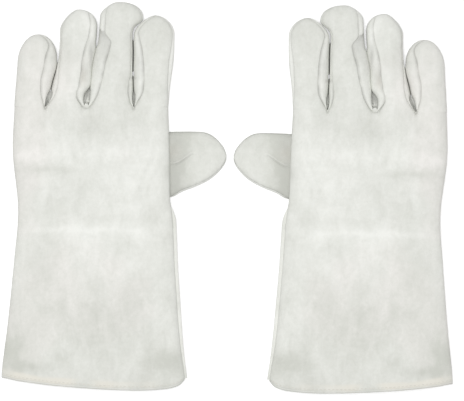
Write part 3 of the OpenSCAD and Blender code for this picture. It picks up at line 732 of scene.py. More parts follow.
    # Linings
    def lining_ring(self, y, inset, u):
        """Ring round the inside of the hand or cuff, palm from the thumb's side and then back."""
        left, right = self.left_side(y), self.right_side(y)
        slack = 0.6 + 2.4 * float(self.near_root(y, KNUCKLE_FADE))
        x = (left + right) / 2 + ((right - left) / 2 - inset - 0.6) * u
        low = self.side_seam + (inset + slack - self.side_seam) * palm_bow(u)
        high = self.side_seam + (self.top(y) - self.side_seam - inset - slack) * back_bow(u)
        return np.concatenate([stacked(x, y, low), stacked(x, y, high)[::-1]])


def glove_place(side, sizes):
    """Matrix and offset that turn the pattern's millimetres into the frame's metres, mirrored for
    the right hand."""
    middle = np.array([sizes.middle_x, sizes.middle_y, 0.0])
    if side == "left":
        return np.eye(3) * MM, -middle
    c, s = math.cos(sizes.turn), math.sin(sizes.turn)
    matrix = np.array([[-c, s, 0], [s, c, 0], [0, 0, 1]]) * MM
    return matrix, np.array([sizes.spacing, -sizes.drop, 0.0]) - middle


class Glove:
    """Makes the pieces of one glove and places them in the frame."""

    def __init__(self, side, context):
        self.side = side
        self.pattern = Pattern(context.scene.gauntlet_sizes)
        self.matrix, self.origin = glove_place(side, context.scene.gauntlet_sizes)
        self.context = context

    def place(self, points):
        return points @ self.matrix.T + self.origin

    def leather(self, name, grids, body="hand", node=None):
        """A piece of leather in place of a packed one, which has the same name if none is given."""
        obj = self.piece(f"{name}_leather", grids, "split_leather_suede", body)
        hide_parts(f"{self.side}_{node or name}")

    def cotton(self, name, grid, body="hand"):
        """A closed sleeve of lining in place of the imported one."""
        obj = self.piece(f"{name}_cotton", [(grid, 0 * grid)], "cotton_twill", body, closed=True)
        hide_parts(f"{self.side}_{name}")

    def sewn(self, name, grid, row):
        """A line of thread along one row of the hand's grid."""
        raised = stitches(grid[row], surface_normals(grid)[row])
        obj = self.piece(name, [(stitch, 0 * stitch) for stitch in raised], "sewing_thread")

    def piece(self, name, grids, finish, body="hand", closed=False):
        """One object from grids of (points, marks), the marks holding wear and painted shade, each a
        sheet of quads seen from outside.
        """
        points, faces, wear = [], [], []
        count = 0
        for grid, marks in grids:
            rows, cols = grid.shape[:2]
            index = count + np.arange(rows * cols).reshape(rows, cols)
            if closed:
                index = np.concatenate([index, index[:, :1]], axis=1)
            quads = np.stack([index[:-1, :-1], index[:-1, 1:], index[1:, 1:], index[1:, :-1]], -1)
            faces.append(quads.reshape(-1, 4))
            points.append(grid.reshape(-1, 3))
            wear.append(marks.reshape(-1, 3))
            count += rows * cols
        points, faces, wear = (np.concatenate(part) for part in (points, faces, wear))
        if self.side == "right":
            faces = faces[:, ::-1]
        mesh = bpy.data.meshes.new(f"{self.side}_{name}")
        mesh.from_pydata(self.place(points).tolist(), [], faces.tolist())
        mesh.shade_smooth()
        rest = mesh.attributes.new("pattern", "FLOAT_VECTOR", "POINT")
        rest.data.foreach_set("vector", (points * MM).astype(np.float32).ravel())
        marks = mesh.attributes.new("wear", "FLOAT_VECTOR", "POINT")
        marks.data.foreach_set("vector", np.clip(wear, 0, 1).astype(np.float32).ravel())
        mesh.materials.append(material(self.context, finish))
        mesh.validate()
        obj = bpy.data.objects.new(f"{self.side}_{name}", mesh)
        self.context.scene.collection.objects.link(obj)
        if body == "hand":
            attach(obj, f"{self.side}_hand")
        else:
            start, end = (self.place(point) for point in self.bend(body))
            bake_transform(obj)
        return obj

    def bend(self, body):
        """Start and end of the leather that bends at the root of a finger or the thumb."""
        p = self.pattern
        if body == "thumb":
            foot = np.array([p.thumb_x(), p.thumb_at + p.thumb_width / 2, 0.0])
            return [foot + (reach, 0, 0) for reach in THUMB_BEND]
        lean = math.radians(FINGERS[body]["lean"])
        direction = np.array([math.sin(lean), math.cos(lean), 0.0])
        root = np.array([0.0])
        middle = (p.wall(body, True, root) + p.wall(body, False, root))[0] / 2
        return [np.array([middle, p.root, 0.0]) + direction * reach for reach in FINGER_BEND]

    def pressed(self, grid, seam_distance, inward, depth=1.0):
        """Rolls a panel's edges into their seams, puckered where the stitches pull."""
        p = self.pattern
        width = p.groove_width * (1 + 0.35 * wander(grid, 5.0, 3.1))
        near = np.clip(1 - seam_distance / width, 0, 1) ** 2
        swell = np.exp(-((seam_distance - 1.6 * p.groove_width) / (0.85 * p.groove_width)) ** 2)
        return grid + inward * (depth * (p.groove * near - 0.18 * swell))[..., None]

    def finger_panel(self, name, back):
        """A finger's finished back or palm panel, and its points' distances from the seams."""
        p = self.pattern
        grid, distance = panel_columns(p.finger_curve(name, back), FINGER_MIDDLE)
        inward = p.finger_inward(name, p.rows(name)[:, None], grid)
        grid = p.tip_closed(name, self.pressed(rumple(grid) if back else grid, distance, inward))
        return grid if back else on_table(grid), distance

    def palm_side(self, root, rows, wrist, hem):
        """Underside of the hand or the cuff, flat on the table, and its points' distances from
        the seams."""
        grid = self.pattern.hand_surface(False, root, rows, hem)
        distance = np.minimum(edge_distance(grid), np.abs(rows - wrist))
        distance = np.minimum(distance, crotch_distance(root, grid))
        grid = self.pressed(grid, distance, self.pattern.hand_inward(grid, across(root)))
        return on_table(grid), distance

    def joined(self, grid, back):
        """Leads the hand's panel into the first rows of the fingers' panels."""
        lead = self.pattern.near_root(grid[..., 1:2], CROTCH_FADE)
        lead[-1] = 1.0
        for i, name in enumerate(NAMES if back else NAMES[::-1]):
            first = self.finger_panel(name, back)[0][0]
            part = slice(i * FINGER_STEP, i * FINGER_STEP + PANEL_COLUMNS)
            grid[:, part] += (first - grid[-1:, part]) * lead[:, part]
        return grid

    def marks(self, grid, seam_distance, tone=0.3, hem=0.0, reach=0.7, dark=0.3):
        """Marks of a panel: painted shade in the grooves of its seams, made patchy like worked-in
        dirt, the cream of the hem and its own tone.
        """
        worn = np.clip(0.75 + 0.7 * wander(grid, 9.0, 4.4), 0.2, 1)
        # Painted shade along each seam's groove, uneven like dirt in it
        crease = dark * worn * np.exp(-(seam_distance / reach) ** 1.3)
        return stacked(crease, hem, tone)


def gloves(context):
    return [Glove(side, context) for side in SIDES]


# Wrinkles of the back, in millimetres: from, to, half width, height
WRINKLES = (
    ((57, 214), (42, 168), 1.5, -0.42), ((52, 213), (38, 176), 1.6, 0.38),
    ((62, 204), (48, 172), 1.3, -0.32), ((47, 205), (34, 181), 1.4, -0.30),
    ((-70, 201), (-22, 198), 2.2, -0.40), ((-71, 194), (-34, 192), 2.0, 0.32),
    ((-72, 187), (-40, 189), 2.4, -0.34), ((-68, 154), (-10, 151), 2.6, 0.30),
    ((10, 150), (60, 147), 2.8, -0.26), ((-30, 176), (-12, 152), 2.2, -0.26),
    ((-20, 205), (-34, 180), 2.4, 0.26), ((30, 64), (50, 34), 3.6, -0.36),
    ((-62, 60), (-72, 30), 3.4, -0.38), ((20, 52), (34, 30), 3.4, -0.26),
    ((-30, 330), (-18, 331), 1.2, -0.28), ((52, 314), (66, 316), 1.2, -0.24),
    ((52, 324), (67, 323), 1.2, -0.22), ((-30, 306), (-18, 308), 1.2, -0.22),
    ((8, 322), (28, 325), 1.3, -0.20), ((-62, 306), (-48, 308), 1.1, -0.2),
)


# Smudges and bleached places of the back: middle, half width and half height in millimetres, and
# how much darker the leather is there
SMUDGES = (
    ((-42, 196), (30, 3.5), 0.22), ((-48, 210), (26, 6), -0.14), ((20, 212), (34, 9), -0.28),
    ((-30, 162), (26, 14), 0.16), ((-8, 176), (12, 16), 0.10), ((46, 186), (18, 18), -0.20),
    ((8, 141), (60, 3.2), -0.14), ((-24, 141), (46, 2.6), -0.12), ((30, 128), (26, 8), 0.10),
    ((14, 152), (34, 5), 0.12), ((-64, 206), (8, 3), -0.18), ((10, 238), (40, 9), 0.12),
    ((-56, 232), (16, 14), 0.08), ((-72, 34), (9, 13), 0.45), ((-62, 18), (16, 6), 0.42),
    ((62, 22), (17, 9), 0.50), ((50, 34), (10, 9), 0.16), ((-30, 24), (12, 8), 0.16),
    ((20, 26), (12, 10), 0.14), ((-10, 60), (40, 30), 0.10), ((-46, 96), (14, 24), 0.14),
    ((34, 70), (12, 22), 0.10), ((4, 96), (12, 14), 0.10),
)


def smudged(grid):
    """How much darker the leather is at each point."""
    place = shifted(grid, 3.0, 18.0, (7.2, 3.8))
    return sum(amount * spot(place, middle, reach) for middle, reach, amount in SMUDGES)


def rumple(grid):
    """Soft unevenness of the leather that lies on top, the same at a point whichever piece it
    is in, fading out towards the side seams."""
    loose = smooth((grid[..., 2] - 7) / 7)
    moved = 0.62 * wander(grid, 44.0, 1.7) + 0.30 * wander(grid, 16.0, 5.3)
    moved = moved + 0.07 * wander(grid, 6.0, 9.1)
    place = shifted(grid, 1.6, 14.0, (2.2, 8.8))
    for start, end, width, height in WRINKLES:
        distance = line_distance(place, np.array([start, end], float))
        moved = moved + height * np.exp(-(distance / width) ** 2)
    lifted = grid.copy()
    lifted[..., 2] += loose * moved
    return lifted


# ---- Shader nodes ----
class Field:
    """A socket that can be used in sums, which add the Math nodes."""

    def __init__(self, shader, socket):
        self.shader = shader
        self.socket = socket

    def _math(self, operation, *values, clamp=False):
        return self.shader.node("ShaderNodeMath", {"operation": operation, "use_clamp": clamp},
                                dict(enumerate(values)))

    def __add__(self, other):
        return self._math("ADD", self, other)

    def __radd__(self, other):
        return self._math("ADD", other, self)

    def __sub__(self, other):
        return self._math("SUBTRACT", self, other)

    def __rsub__(self, other):
        return self._math("SUBTRACT", other, self)

    def __mul__(self, other):
        return self._math("MULTIPLY", self, other)

    def __rmul__(self, other):
        return self._math("MULTIPLY", other, self)

    def clamped(self):
        return self._math("ADD", self, 0.0, clamp=True)


class Shader:
    """The node tree of a material, or of a world."""

    def __init__(self, name, world=False):
        self.material = (bpy.data.worlds if world else bpy.data.materials).new(name)
        self.material.use_nodes = True
        self.tree = self.material.node_tree
        self.tree.nodes.clear()
        self.output = self.tree.nodes.new("ShaderNodeOutputWorld" if world
                                          else "ShaderNodeOutputMaterial")

    def node(self, kind, settings=None, inputs=None, output=0):
        made = self.tree.nodes.new(kind)
        for key, value in (settings or {}).items():
            setattr(made, key, value)
        for key, value in (inputs or {}).items():
            self.feed(made.inputs[key], value)
        return Field(self, made.outputs[output])

    def feed(self, socket, value):
        if isinstance(value, Field):
            self.tree.links.new(value.socket, socket)
        elif socket.type == "RGBA":
            socket.default_value = (*tuple(value)[:3], 1.0)
        else:
            socket.default_value = value

    def noise(self, coords, scale, detail=2.0, roughness=0.5, distortion=0.0):
        return self.node("ShaderNodeTexNoise", {}, {
            "Vector": coords, "Scale": scale, "Detail": detail, "Roughness": roughness,
            "Distortion": distortion})

    def band(self, value, low, high):
        """0 below low, 1 above high."""
        return self.node("ShaderNodeMapRange", {"interpolation_type": "SMOOTHSTEP"}, {
            "Value": value, "From Min": low, "From Max": high, "To Min": 0.0, "To Max": 1.0})

    def blend(self, factor, a, b):
        return self.node("ShaderNodeMix", {"data_type": "RGBA"}, {
            "Factor": factor, 6: a, 7: b}, output=2)

    def attribute(self, name):
        return self.node("ShaderNodeAttribute", {"attribute_name": name}, output=1)

    def axes(self, vector):
        return [self.node("ShaderNodeSeparateXYZ", {}, {0: vector}, output=i) for i in range(3)]

    def scaled(self, vector, factors):
        return self.node("ShaderNodeVectorMath", {"operation": "MULTIPLY"}, {0: vector, 1: factors})

    def bump(self, height, strength, distance):
        return self.node("ShaderNodeBump", {}, {
            "Strength": strength, "Distance": distance, "Height": height})

    def directly_seen(self):
        """1 for rays from the camera and for those that glossy or clear surfaces pass on."""
        rays = ("Is Camera Ray", "Is Glossy Ray", "Is Transmission Ray")
        camera, glossy, clear = (self.node("ShaderNodeLightPath", output=ray) for ray in rays)
        return (camera + glossy + clear).clamped()

    def surface(self, **inputs):
        named = {key.replace("_", " ").title(): value for key, value in inputs.items()}
        named["Specular IOR Level"] = 0.25
        self.finish(self.node("ShaderNodeBsdfPrincipled", {}, named))
        return self.material

    def finish(self, shader):
        self.tree.links.new(shader.socket, self.output.inputs["Surface"])


def leather_material(finish):
    """Pale split leather: cloudy, with a short nap, with painted shade in its seams, folds and
    hollows, and creamy at the hem.
    """
    s = Shader("split_leather_suede")
    place = s.attribute("pattern")
    crease, hem, tone = s.axes(s.attribute("wear"))
    drawn = s.scaled(place, (1.5, 0.7, 1.0))
    cloud = s.noise(place, 21.0, 3.0, 0.55, 0.3)
    streak = s.noise(drawn, 70.0, 3.0, 0.6, 0.4)
    speck = s.noise(place, 260.0, 4.0, 0.7)
    fibre = s.noise(place, 900.0, 3.0, 0.6)
    side = s.axes(place)[0]
    warmth = s.band(s.noise(place, 13.0, 2.0, 0.5) - 1.5 * side, 0.46, 0.66)
    light = s.blend(warmth, finish.leather, finish.warm)
    grey = tone + 0.85 * (cloud - 0.5) + 0.75 * (streak - 0.5) + 0.55 * (speck - 0.5)
    colour = s.blend(grey.clamped(), light, finish.shade)
    colour = s.blend((hem * (0.75 + 0.5 * speck)).clamped(), colour, finish.hem)
    # Painted shade in the seams, folds and hollows, from the crease channel
    colour = s.blend((crease * (0.7 + 0.6 * speck)).clamped(), colour, finish.crease)
    height = 0.7 * fibre + 0.9 * speck + 1.2 * streak
    normal = s.bump(height, 0.6, finish.nap)
    return s.surface(base_color=colour, roughness=0.86 + 0.12 * fibre, normal=normal)


def cotton_material(finish):
    """Brushed cotton with a twill line."""
    s = Shader("cotton_twill")
    place = s.attribute("pattern")
    weave = s.node("ShaderNodeTexWave", {"wave_type": "BANDS", "bands_direction": "DIAGONAL"}, {
        "Vector": place, "Scale": 420.0, "Distortion": 0.6, "Detail": 1.0}, output=1)
    fuzz = s.noise(place, 600.0, 3.0)
    cloud = s.noise(place, 40.0, 2.0)
    dark = [0.78 * value for value in finish.cotton]
    colour = s.blend((0.35 * weave + 0.3 * fuzz + 0.2 * cloud).clamped(), finish.cotton, dark)
    return s.surface(base_color=colour, roughness=0.95 - 0.05 * fuzz,
                     normal=s.bump(weave + 0.5 * fuzz, 0.5, 0.0004))


def thread_material(finish):
    """Twisted cotton thread."""
    s = Shader("sewing_thread")
    place = s.attribute("pattern")
    twist = s.node("ShaderNodeTexWave", {"wave_type": "BANDS", "bands_direction": "DIAGONAL"}, {
        "Vector": place, "Scale": 900.0, "Distortion": 0.4}, output=1)
    dark = [0.8 * value for value in finish.thread]
    colour = s.blend(twist, finish.thread, dark)
    return s.surface(base_color=colour, roughness=0.75 + 0.1 * twist,
                     normal=s.bump(twist, 0.5, 0.0002))


def floor_material(finish):
    """Pale table top that reads white where nothing shades it."""
    s = Shader("table_top")
    coords = s.node("ShaderNodeTexCoord", {}, output=3)
    faint = s.noise(coords, 6.0, 2.0)
    near = [0.985 * value for value in finish.floor]
    colour = s.blend(faint, finish.floor, near)
    matt = s.node("ShaderNodeBsdfDiffuse", {}, {"Color": colour})
    glow = s.node("ShaderNodeEmission", {}, {"Color": [FLOOR_GLOW] * 3})
    none = s.node("ShaderNodeEmission", {}, {"Color": (0.0, 0.0, 0.0)})
    seen = s.node("ShaderNodeMixShader", {}, {0: s.directly_seen(), 1: none, 2: glow})
    s.finish(s.node("ShaderNodeAddShader", {}, {0: matt, 1: seen}))
    return s.material


def material(context, name):
    """A material by its name, made when it is first asked for."""
    makers = {"split_leather_suede": leather_material, "cotton_twill": cotton_material,
              "sewing_thread": thread_material, "table_top": floor_material}
    return bpy.data.materials.get(name) or makers[name](context.scene.gauntlet_finish)


# ---- Panels ----
# Rows that are stitched: on the back's hem, and on the palm side
HEM_STITCH_ROW = 2
SEAM_STITCH_ROW = 4
# Length of palm that its rows are shared out over
PALM_LENGTH = 80.0


def finger_strips(pattern):
    """Every strip between a finger's two panels, by finger and side."""
    strips = {}
    for name in NAMES:
        for right in (False, True):
            if FINGERS[name]["right_seam" if right else "left_seam"] is not None:
                curve = pattern.strip_curve(name, right)
                places = np.linspace(0, 1, STRIP_COLUMNS)[None, :]
                strips[name, right] = cut(curve, running_length(curve)[:, -1:] * places)
    return strips


# Rows of the inside that are modelled at the hem, and rows of the turned edge by share of its width
INSIDE_ROWS = 9
LIP_ROWS = (1.0, 0.9, 0.74, 0.56, 0.38, 0.2, 0.09)
# How dark the painted shade in the fold line above the turned edge is
LIP_GREY = 0.22


def hem_turned(glove, grid, marks, lip=0.0):
    """Adds the turned edge below the hem's stitching, and the first of the inside, in the
    leather's thickness."""
    t = glove.pattern.leather
    if lip:
        share = np.array(LIP_ROWS)[:, None]
        bead = 0.45 * np.sin(np.pi * share) ** 0.8
        turned = stacked(0.0, -lip * share, bead - 0.8 * lip * share ** 2.2)
        worn = np.repeat(marks[:1], len(share), axis=0)
        worn[:-2, :, CREAM] *= 0.3
        worn[:-2, :, TONE] *= 0.7
        grid = np.concatenate([grid[:1] + turned, grid])
        marks = np.concatenate([worn, marks])
        line = slice(len(share) - 2, len(share) + 1)
        # Painted shade along the fold above the turned edge
        marks[line, :, CREASE] += LIP_GREY
    normal = surface_normals(grid)
    inner = (grid - normal * t)[:INSIDE_ROWS][::-1]
    edge = np.stack([grid[0] - normal[0] * t * 0.8, grid[0] - normal[0] * t * 0.2])
    edge[:, :, 1] -= 0.35
    unseen = np.repeat(marks[:1], INSIDE_ROWS + len(edge), axis=0)
    return np.concatenate([inner, edge, grid]), np.concatenate([unseen, marks])


def hand_rows(end):
    """Heights of the rows up to a seam, close together at both ends."""
    body = np.arange(13.0, end - 3.2, HAND_ROW_STEP)
    return np.concatenate([HAND_ROWS, body, end - np.array(HAND_LAST_ROWS)])


def crotch_distance(root, grid):
    """Distance of the hand's points from the seams round the crotches."""
    starts = PANEL_COLUMNS - 1 + FINGER_STEP * np.arange(CROTCHES)
    seams = [root[start:start + CROTCH_STEPS + 1] for start in starts]
    return np.min([line_distance(grid, seam) for seam in seams], axis=0)


def palm_root(pattern):
    """The palm's last row, and the height of the wrist seam at each of its columns."""
    root = pattern.root_row(False)
    return root, pattern.wrist_at - WRIST_SLANT * across(root)[None, :]


def body_tone(y):
    """The cuff is a little greyer than the hand."""
    return along(((0, 0.60), (30, 0.52), (70, 0.44), (110, 0.37), (150, 0.30), (200, 0.40),
                  (250, 0.41)), y)


def hem_cream(grid):
    """Where the leather is creamy: a narrow, uneven band above the hem."""
    edge = grid[:1, :, 1] + 5.2 + 1.6 * wander(grid[:1] * (1, 0, 0), 30.0, 6.1)
    patchy = np.clip(0.62 + 1.3 * wander(grid, 22.0, 4.9), 0.05, 1)
    side = smooth((66 - grid[..., 0]) / 26)
    return 0.72 * smooth((edge - grid[..., 1]) / 3 + 0.5) * patchy * side


# Length of a stitch and of its step, half its width, its height and how deep it sits
STITCH_LENGTH = 2.7
STITCH_PITCH = 3.7
STITCH_HALF = 0.36
STITCH_HEIGHT = 0.34
STITCH_SUNK = 0.10


def stitches(line, up):
    """Raised stitches along a line of points, each a small sheet that bulges out of the leather."""
    run = running_length(line[None])[0]
    grids = []
    t = np.linspace(-1, 1, 7)[:, None]
    a = np.linspace(0, np.pi, 5)[None, :]
    round_off = np.sqrt(1.05 - t ** 2)
    for centre in np.arange(STITCH_PITCH, run[-1] - STITCH_PITCH, STITCH_PITCH):
        here, before, after = (np.array([np.interp(centre + d, run, line[:, k]) for k in range(3)])
                               for d in (0.0, -1.0, 1.0))
        raised = np.array([np.interp(centre, run, up[:, k]) for k in range(3)])
        forward = (after - before) / np.linalg.norm(after - before)
        sideways = np.cross(forward, raised)
        grid = here + (t * STITCH_LENGTH / 2)[..., None] * forward
        grid = grid - (STITCH_HALF * np.cos(a) * round_off)[..., None] * sideways
        rise = STITCH_HEIGHT * np.sin(a) * round_off - STITCH_SUNK
        grids.append(grid + rise[..., None] * raised)
    return grids


class GAUNTLET_OT_hand_backs(bpy.types.Operator):
    """Back of each hand and cuff, in one panel from the hem to the fingers"""

    bl_idname = "gauntlet.hand_backs"
    bl_label = "Hand backs"

    def execute(self, context):
        for glove in gloves(context):
            p = glove.pattern
            root = p.root_row(True)
            rows = hand_rows(p.root)[:, None]
            grid = p.hand_surface(True, root, rows, 1.0)
            crotch = crotch_distance(root, grid)
            seam = np.minimum(edge_distance(grid), crotch)
            inward = p.hand_inward(grid, across(root))
            side = smooth((crotch - 4) / 6)
            grid = glove.pressed(rumple(grid), seam, inward, depth=mix(1, 0.4, side))
            grid = glove.joined(grid, True)
            glove.sewn("back_stitching", grid, HEM_STITCH_ROW)
            # The seams' painted shade is strongest round the crotches
            marks = glove.marks(grid, seam, hem=hem_cream(grid), dark=mix(0.5, 0.14, side),
                                tone=body_tone(rows) + smudged(grid))
            glove.leather("hand_back", [hem_turned(glove, grid, marks, lip=HEM_STEP - 0.3)])
        return {"FINISHED"}


class GAUNTLET_OT_palms(bpy.types.Operator):
    """Palm of each hand, from the wrist seam to the fingers"""

    bl_idname = "gauntlet.palms"
    bl_label = "Palms"

    def execute(self, context):
        for glove in gloves(context):
            p = glove.pattern
            root, wrist = palm_root(p)
            share = (hand_rows(PALM_LENGTH) / PALM_LENGTH)[:, None]
            grid, distance = glove.palm_side(root, mix(wrist, p.root, share), wrist, 0.0)
            grid = glove.joined(grid, False)
            glove.sewn("palm_stitching", grid, SEAM_STITCH_ROW)
            glove.leather("palm", [(grid, glove.marks(grid, distance, tone=0.25))])
        return {"FINISHED"}


class GAUNTLET_OT_cuff_fronts(bpy.types.Operator):
    """Palm side of each cuff, from the hem to the wrist seam"""

    bl_idname = "gauntlet.cuff_fronts"
    bl_label = "Cuff fronts"

    def execute(self, context):
        for glove in gloves(context):
            p = glove.pattern
            root, wrist = palm_root(p)
            share = (hand_rows(p.wrist_at) / p.wrist_at)[:, None]
            grid, distance = glove.palm_side(root, wrist * share, wrist, 1.0)
            glove.sewn("cuff_stitching", grid, SEAM_STITCH_ROW)
            marks = glove.marks(grid, distance, hem=0.15, tone=0.18 + 0.1 * wander(grid, 20.0))
            glove.leather("cuff_front", [hem_turned(glove, grid, marks)])
        return {"FINISHED"}


class GAUNTLET_OT_finger_backs(bpy.types.Operator):
    """Back panel of each finger"""

    bl_idname = "gauntlet.finger_backs"
    bl_label = "Finger backs"

    def execute(self, context):
        for glove in gloves(context):
            p = glove.pattern
            for name in NAMES:
                grid, distance = glove.finger_panel(name, True)
                along_finger = smooth((grid[..., 1] - p.root) / 30)
                tone = mix(body_tone(p.root), FINGERS[name]["tone"], along_finger)
                dark = p.seam_shade(name, p.rows(name)[:, None], grid[..., 0])
                marks = glove.marks(grid, distance, tone=tone, dark=dark)
                glove.leather(f"{name}_back", [(grid, marks)], name)
        return {"FINISHED"}


class GAUNTLET_OT_finger_fronts(bpy.types.Operator):
    """Palm panel of each finger"""

    bl_idname = "gauntlet.finger_fronts"
    bl_label = "Finger fronts"

    def execute(self, context):
        for glove in gloves(context):
            for name in NAMES:
                grid, distance = glove.finger_panel(name, False)
                marks = glove.marks(grid, distance, tone=0.2)
                glove.leather(f"{name}_front", [(grid, marks)], name)
        return {"FINISHED"}


class GAUNTLET_OT_fourchettes(bpy.types.Operator):
    """Strips along the sides of the fingers"""

    bl_idname = "gauntlet.fourchettes"
    bl_label = "Fourchettes"

    def execute(self, context):
        for glove in gloves(context):
            strips = finger_strips(glove.pattern)
            for name in NAMES:
                grids = [self.strip(glove, name, right, *strips[name, right])
                         for right in (False, True) if (name, right) in strips]
                node = f"{name}_fourchette" + ("s" if len(grids) == 2 else "")
                glove.leather(node, grids, name)
        return {"FINISHED"}

    def strip(self, glove, name, right, grid, distance):
        """Wear of one strip, and its edges pressed into the seams."""
        h = glove.pattern.rows(name)[:, None]
        inward = glove.pattern.finger_inward(name, h, grid)
        inset = glove.pattern.seam_inset(name, right, True, h)
        marks = glove.marks(grid, distance, tone=0.30, dark=seam_dark(inset))
        # Painted shade in the gaps between the fingers and painted shadow under the middle finger's
        # fold
        darken(marks, strip_shade(name, right, grid))
        if name == "ring" and right:
            brown_patch = spot(grid, *BROWN_PATCH)
            marks[..., CREAM] = 0.5 * brown_patch
            marks[..., CREASE] += 0.16 * brown_patch
        grid = glove.pressed(rumple(grid), distance, inward)
        if name == "middle" and not right:
            grid[..., 2] -= 2.4 * below_fold(grid, 8.0) * smooth(distance / 3)
        return glove.pattern.tip_closed(name, grid), marks


# Painted shade on the strips, deep in the gaps between the fingers: finger, right side, middle and
# reach in millimetres, and how dark it is
GAP_SHADE = (
    ("little", True, (-37.2, 272), (3.2, 8), 0.20), ("little", True, (-42, 258), (2.5, 5), 0.14),
    ("ring", True, (-9.5, 284), (3.5, 9), 0.22), ("index", False, (41.5, 293), (2.5, 9), 0.16),
    ("middle", True, (34.0, 278.7), (2.2, 1.6), 0.34),
    ("index", False, (36.5, 278.7), (2.4, 1.6), 0.34),
    ("ring", True, (-2.8, 302), (1.8, 9), 0.45), ("middle", False, (-1.6, 302), (1.4, 9), 0.35),
    ("ring", False, (-36, 282), (3.0, 6), 0.16), ("ring", False, (-38, 274), (3.0, 5), 0.14),
)
# Brownish, darker patch on the ring finger's strip: middle and reach
BROWN_PATCH = ((-9.8, 279), (3.0, 8))


def strip_shade(name, right, grid):
    """Painted shade low in the gaps between the fingers, and painted shadow under the fold of the
    middle finger.
    """
    deep = 0.75 if (name, right) in (("middle", True), ("index", False)) else 0.45
    shade = deep * smooth((12 - grid[..., 2]) / 7)
    for finger, side, middle, reach, amount in GAP_SHADE:
        if (finger, side) == (name, right):
            shade = shade + amount * spot(grid, middle, reach)
    if name == "middle" and not right:
        shade = shade + 0.46 * below_fold(grid, 16.0) + 0.25 * below_fold(grid, 1.0)
    return shade


def below_fold(grid, fade):
    """1 just below the oblique fold of the middle finger, fading towards the hand."""
    (x0, y0), (x1, y1) = MIDDLE_FOLD
    line = y0 + (grid[..., 0] - x0) * (y1 - y0) / (x1 - x0)
    down = line - grid[..., 1]
    return smooth(down / 0.9 + 0.5) * np.exp(-np.maximum(down, 0) / fade)


class GAUNTLET_OT_crotch_webs(bpy.types.Operator):
    """Leather that runs round the crotch between two fingers"""

    bl_idname = "gauntlet.crotch_webs"
    bl_label = "Crotch webs"

    def execute(self, context):
        for glove in gloves(context):
            p = glove.pattern
            strips = finger_strips(p)
            for f, name in enumerate(WEB_FINGERS):
                start = strips[NAMES[f], True][0][0]
                end = strips[NAMES[f + 1], False][0][0][::-1]
                k = np.linspace(0, 1, 2 * CROTCH_STEPS + 1)[:, None]
                v = np.linspace(0, 1, STRIP_COLUMNS)[None, :]
                grid = p.web(f, start[None], end[None], k + 0 * v, v)
                distance = (CROTCH_TOP - CROTCH_LOW) * np.minimum(v, 1 - v)
                inward = stacked(0.0, 0.0, np.where(v < 0.5, -1.0, 1.0))
                # Painted shade in the web's seams and in the crotch's hollow, darkest where it runs
                # in between the fingers
                marks = glove.marks(grid, distance, tone=0.3, dark=0.4)
                deep = 0.24 * smooth((12 - grid[..., 2]) / 5)
                deep = deep + 0.55 * smooth((grid[..., 1] - p.root - 10) / 5)
                darken(marks, deep)
                grid = glove.pressed(rumple(grid), distance, inward)
                glove.leather(f"{name}_crotch_web", [(grid[::-1], marks[::-1])], name,
                              node="crotch_webs")
        return {"FINISHED"}


class GAUNTLET_OT_thumbs(bpy.types.Operator):
    """Both panels of each wing thumb"""

    bl_idname = "gauntlet.thumbs"
    bl_label = "Thumbs"

    def execute(self, context):
        for glove in gloves(context):
            p = glove.pattern
            for upper in (True, False):
                grid, distance = panel_columns(p.thumb_curve(upper), THUMB_MIDDLE)
                inward = np.array([0.0, 0.0, -1.0 if upper else 1.0])
                grid = glove.pressed(grid, distance, inward, depth=0.3)
                out = grid[..., 0] - p.thumb_x()
                high = smooth((grid[..., 1] - p.thumb_at - 22) / 30)
                # The thumb is painted greyer, and painted shadow of the hand's edge darkens it most
                # next to the hand and towards the fingers
                shade = 0.50 + 0.5 * smooth((30 - out) / 26) + 0.2 * high * smooth((30 - out) / 20)
                marks = glove.marks(grid, distance, tone=shade, reach=0.6, dark=0.22)
                brown_patch = spot(grid - (p.thumb_x(), p.thumb_at, 0), *THUMB_BROWN_PATCH)
                # More painted shadow next to the hand
                marks[..., CREASE] += 0.30 * smooth((18 - out) / 18) + 0.12 * brown_patch
                marks[..., CREAM] += 0.35 * brown_patch
                if upper:
                    fold = along(THUMB_FOLD, out) + p.thumb_at
                    strength = smooth((26 - out) / 18) * smooth((out + 1) / 3)
                    groove, second, ridge = (
                        np.exp(-((grid[..., 1] - fold - above) / width) ** 2) * strength
                        for above, width in THUMB_CREASES)
                    grid[..., 2] += 0.7 * ridge - 0.9 * groove - 0.3 * second
                    # Painted shade in the two grooves, and a painted highlight on the ridge between
                    # them
                    darken(marks, 0.42 * groove + 0.22 * second)
                    marks[..., TONE] -= 0.35 * ridge
                else:
                    grid = on_table(grid)
                    low = grid[..., 1] < grid[..., 1].mean(axis=1, keepdims=True)
                    rolled = distance / THUMB_ROLL
                    rolled_out = rolled * np.exp(1 - rolled) * smooth(out / 4)
                    grid[..., 1] += np.where(low, -1.7, 0.6) * rolled_out
                    grid[..., 2] -= np.where(low, 2.6, 1.6) * smooth(rolled) * np.exp(-rolled / 3)
                    # The lower panel's rolled edge is painted lighter, against the shade round it,
                    # and gets no painted seam shade
                    marks[..., CREASE] = 0.0
                    marks[..., TONE] = mix(0.1, 0.6, smooth(distance / 4))
                grid[-1] = (grid[-1, :, 0].max(), grid[-1, :, 1].mean(), THUMB_SEAM)
                name = "thumb_upper" if upper else "thumb_lower"
                glove.leather(name, [(grid, marks)], "thumb")
        return {"FINISHED"}


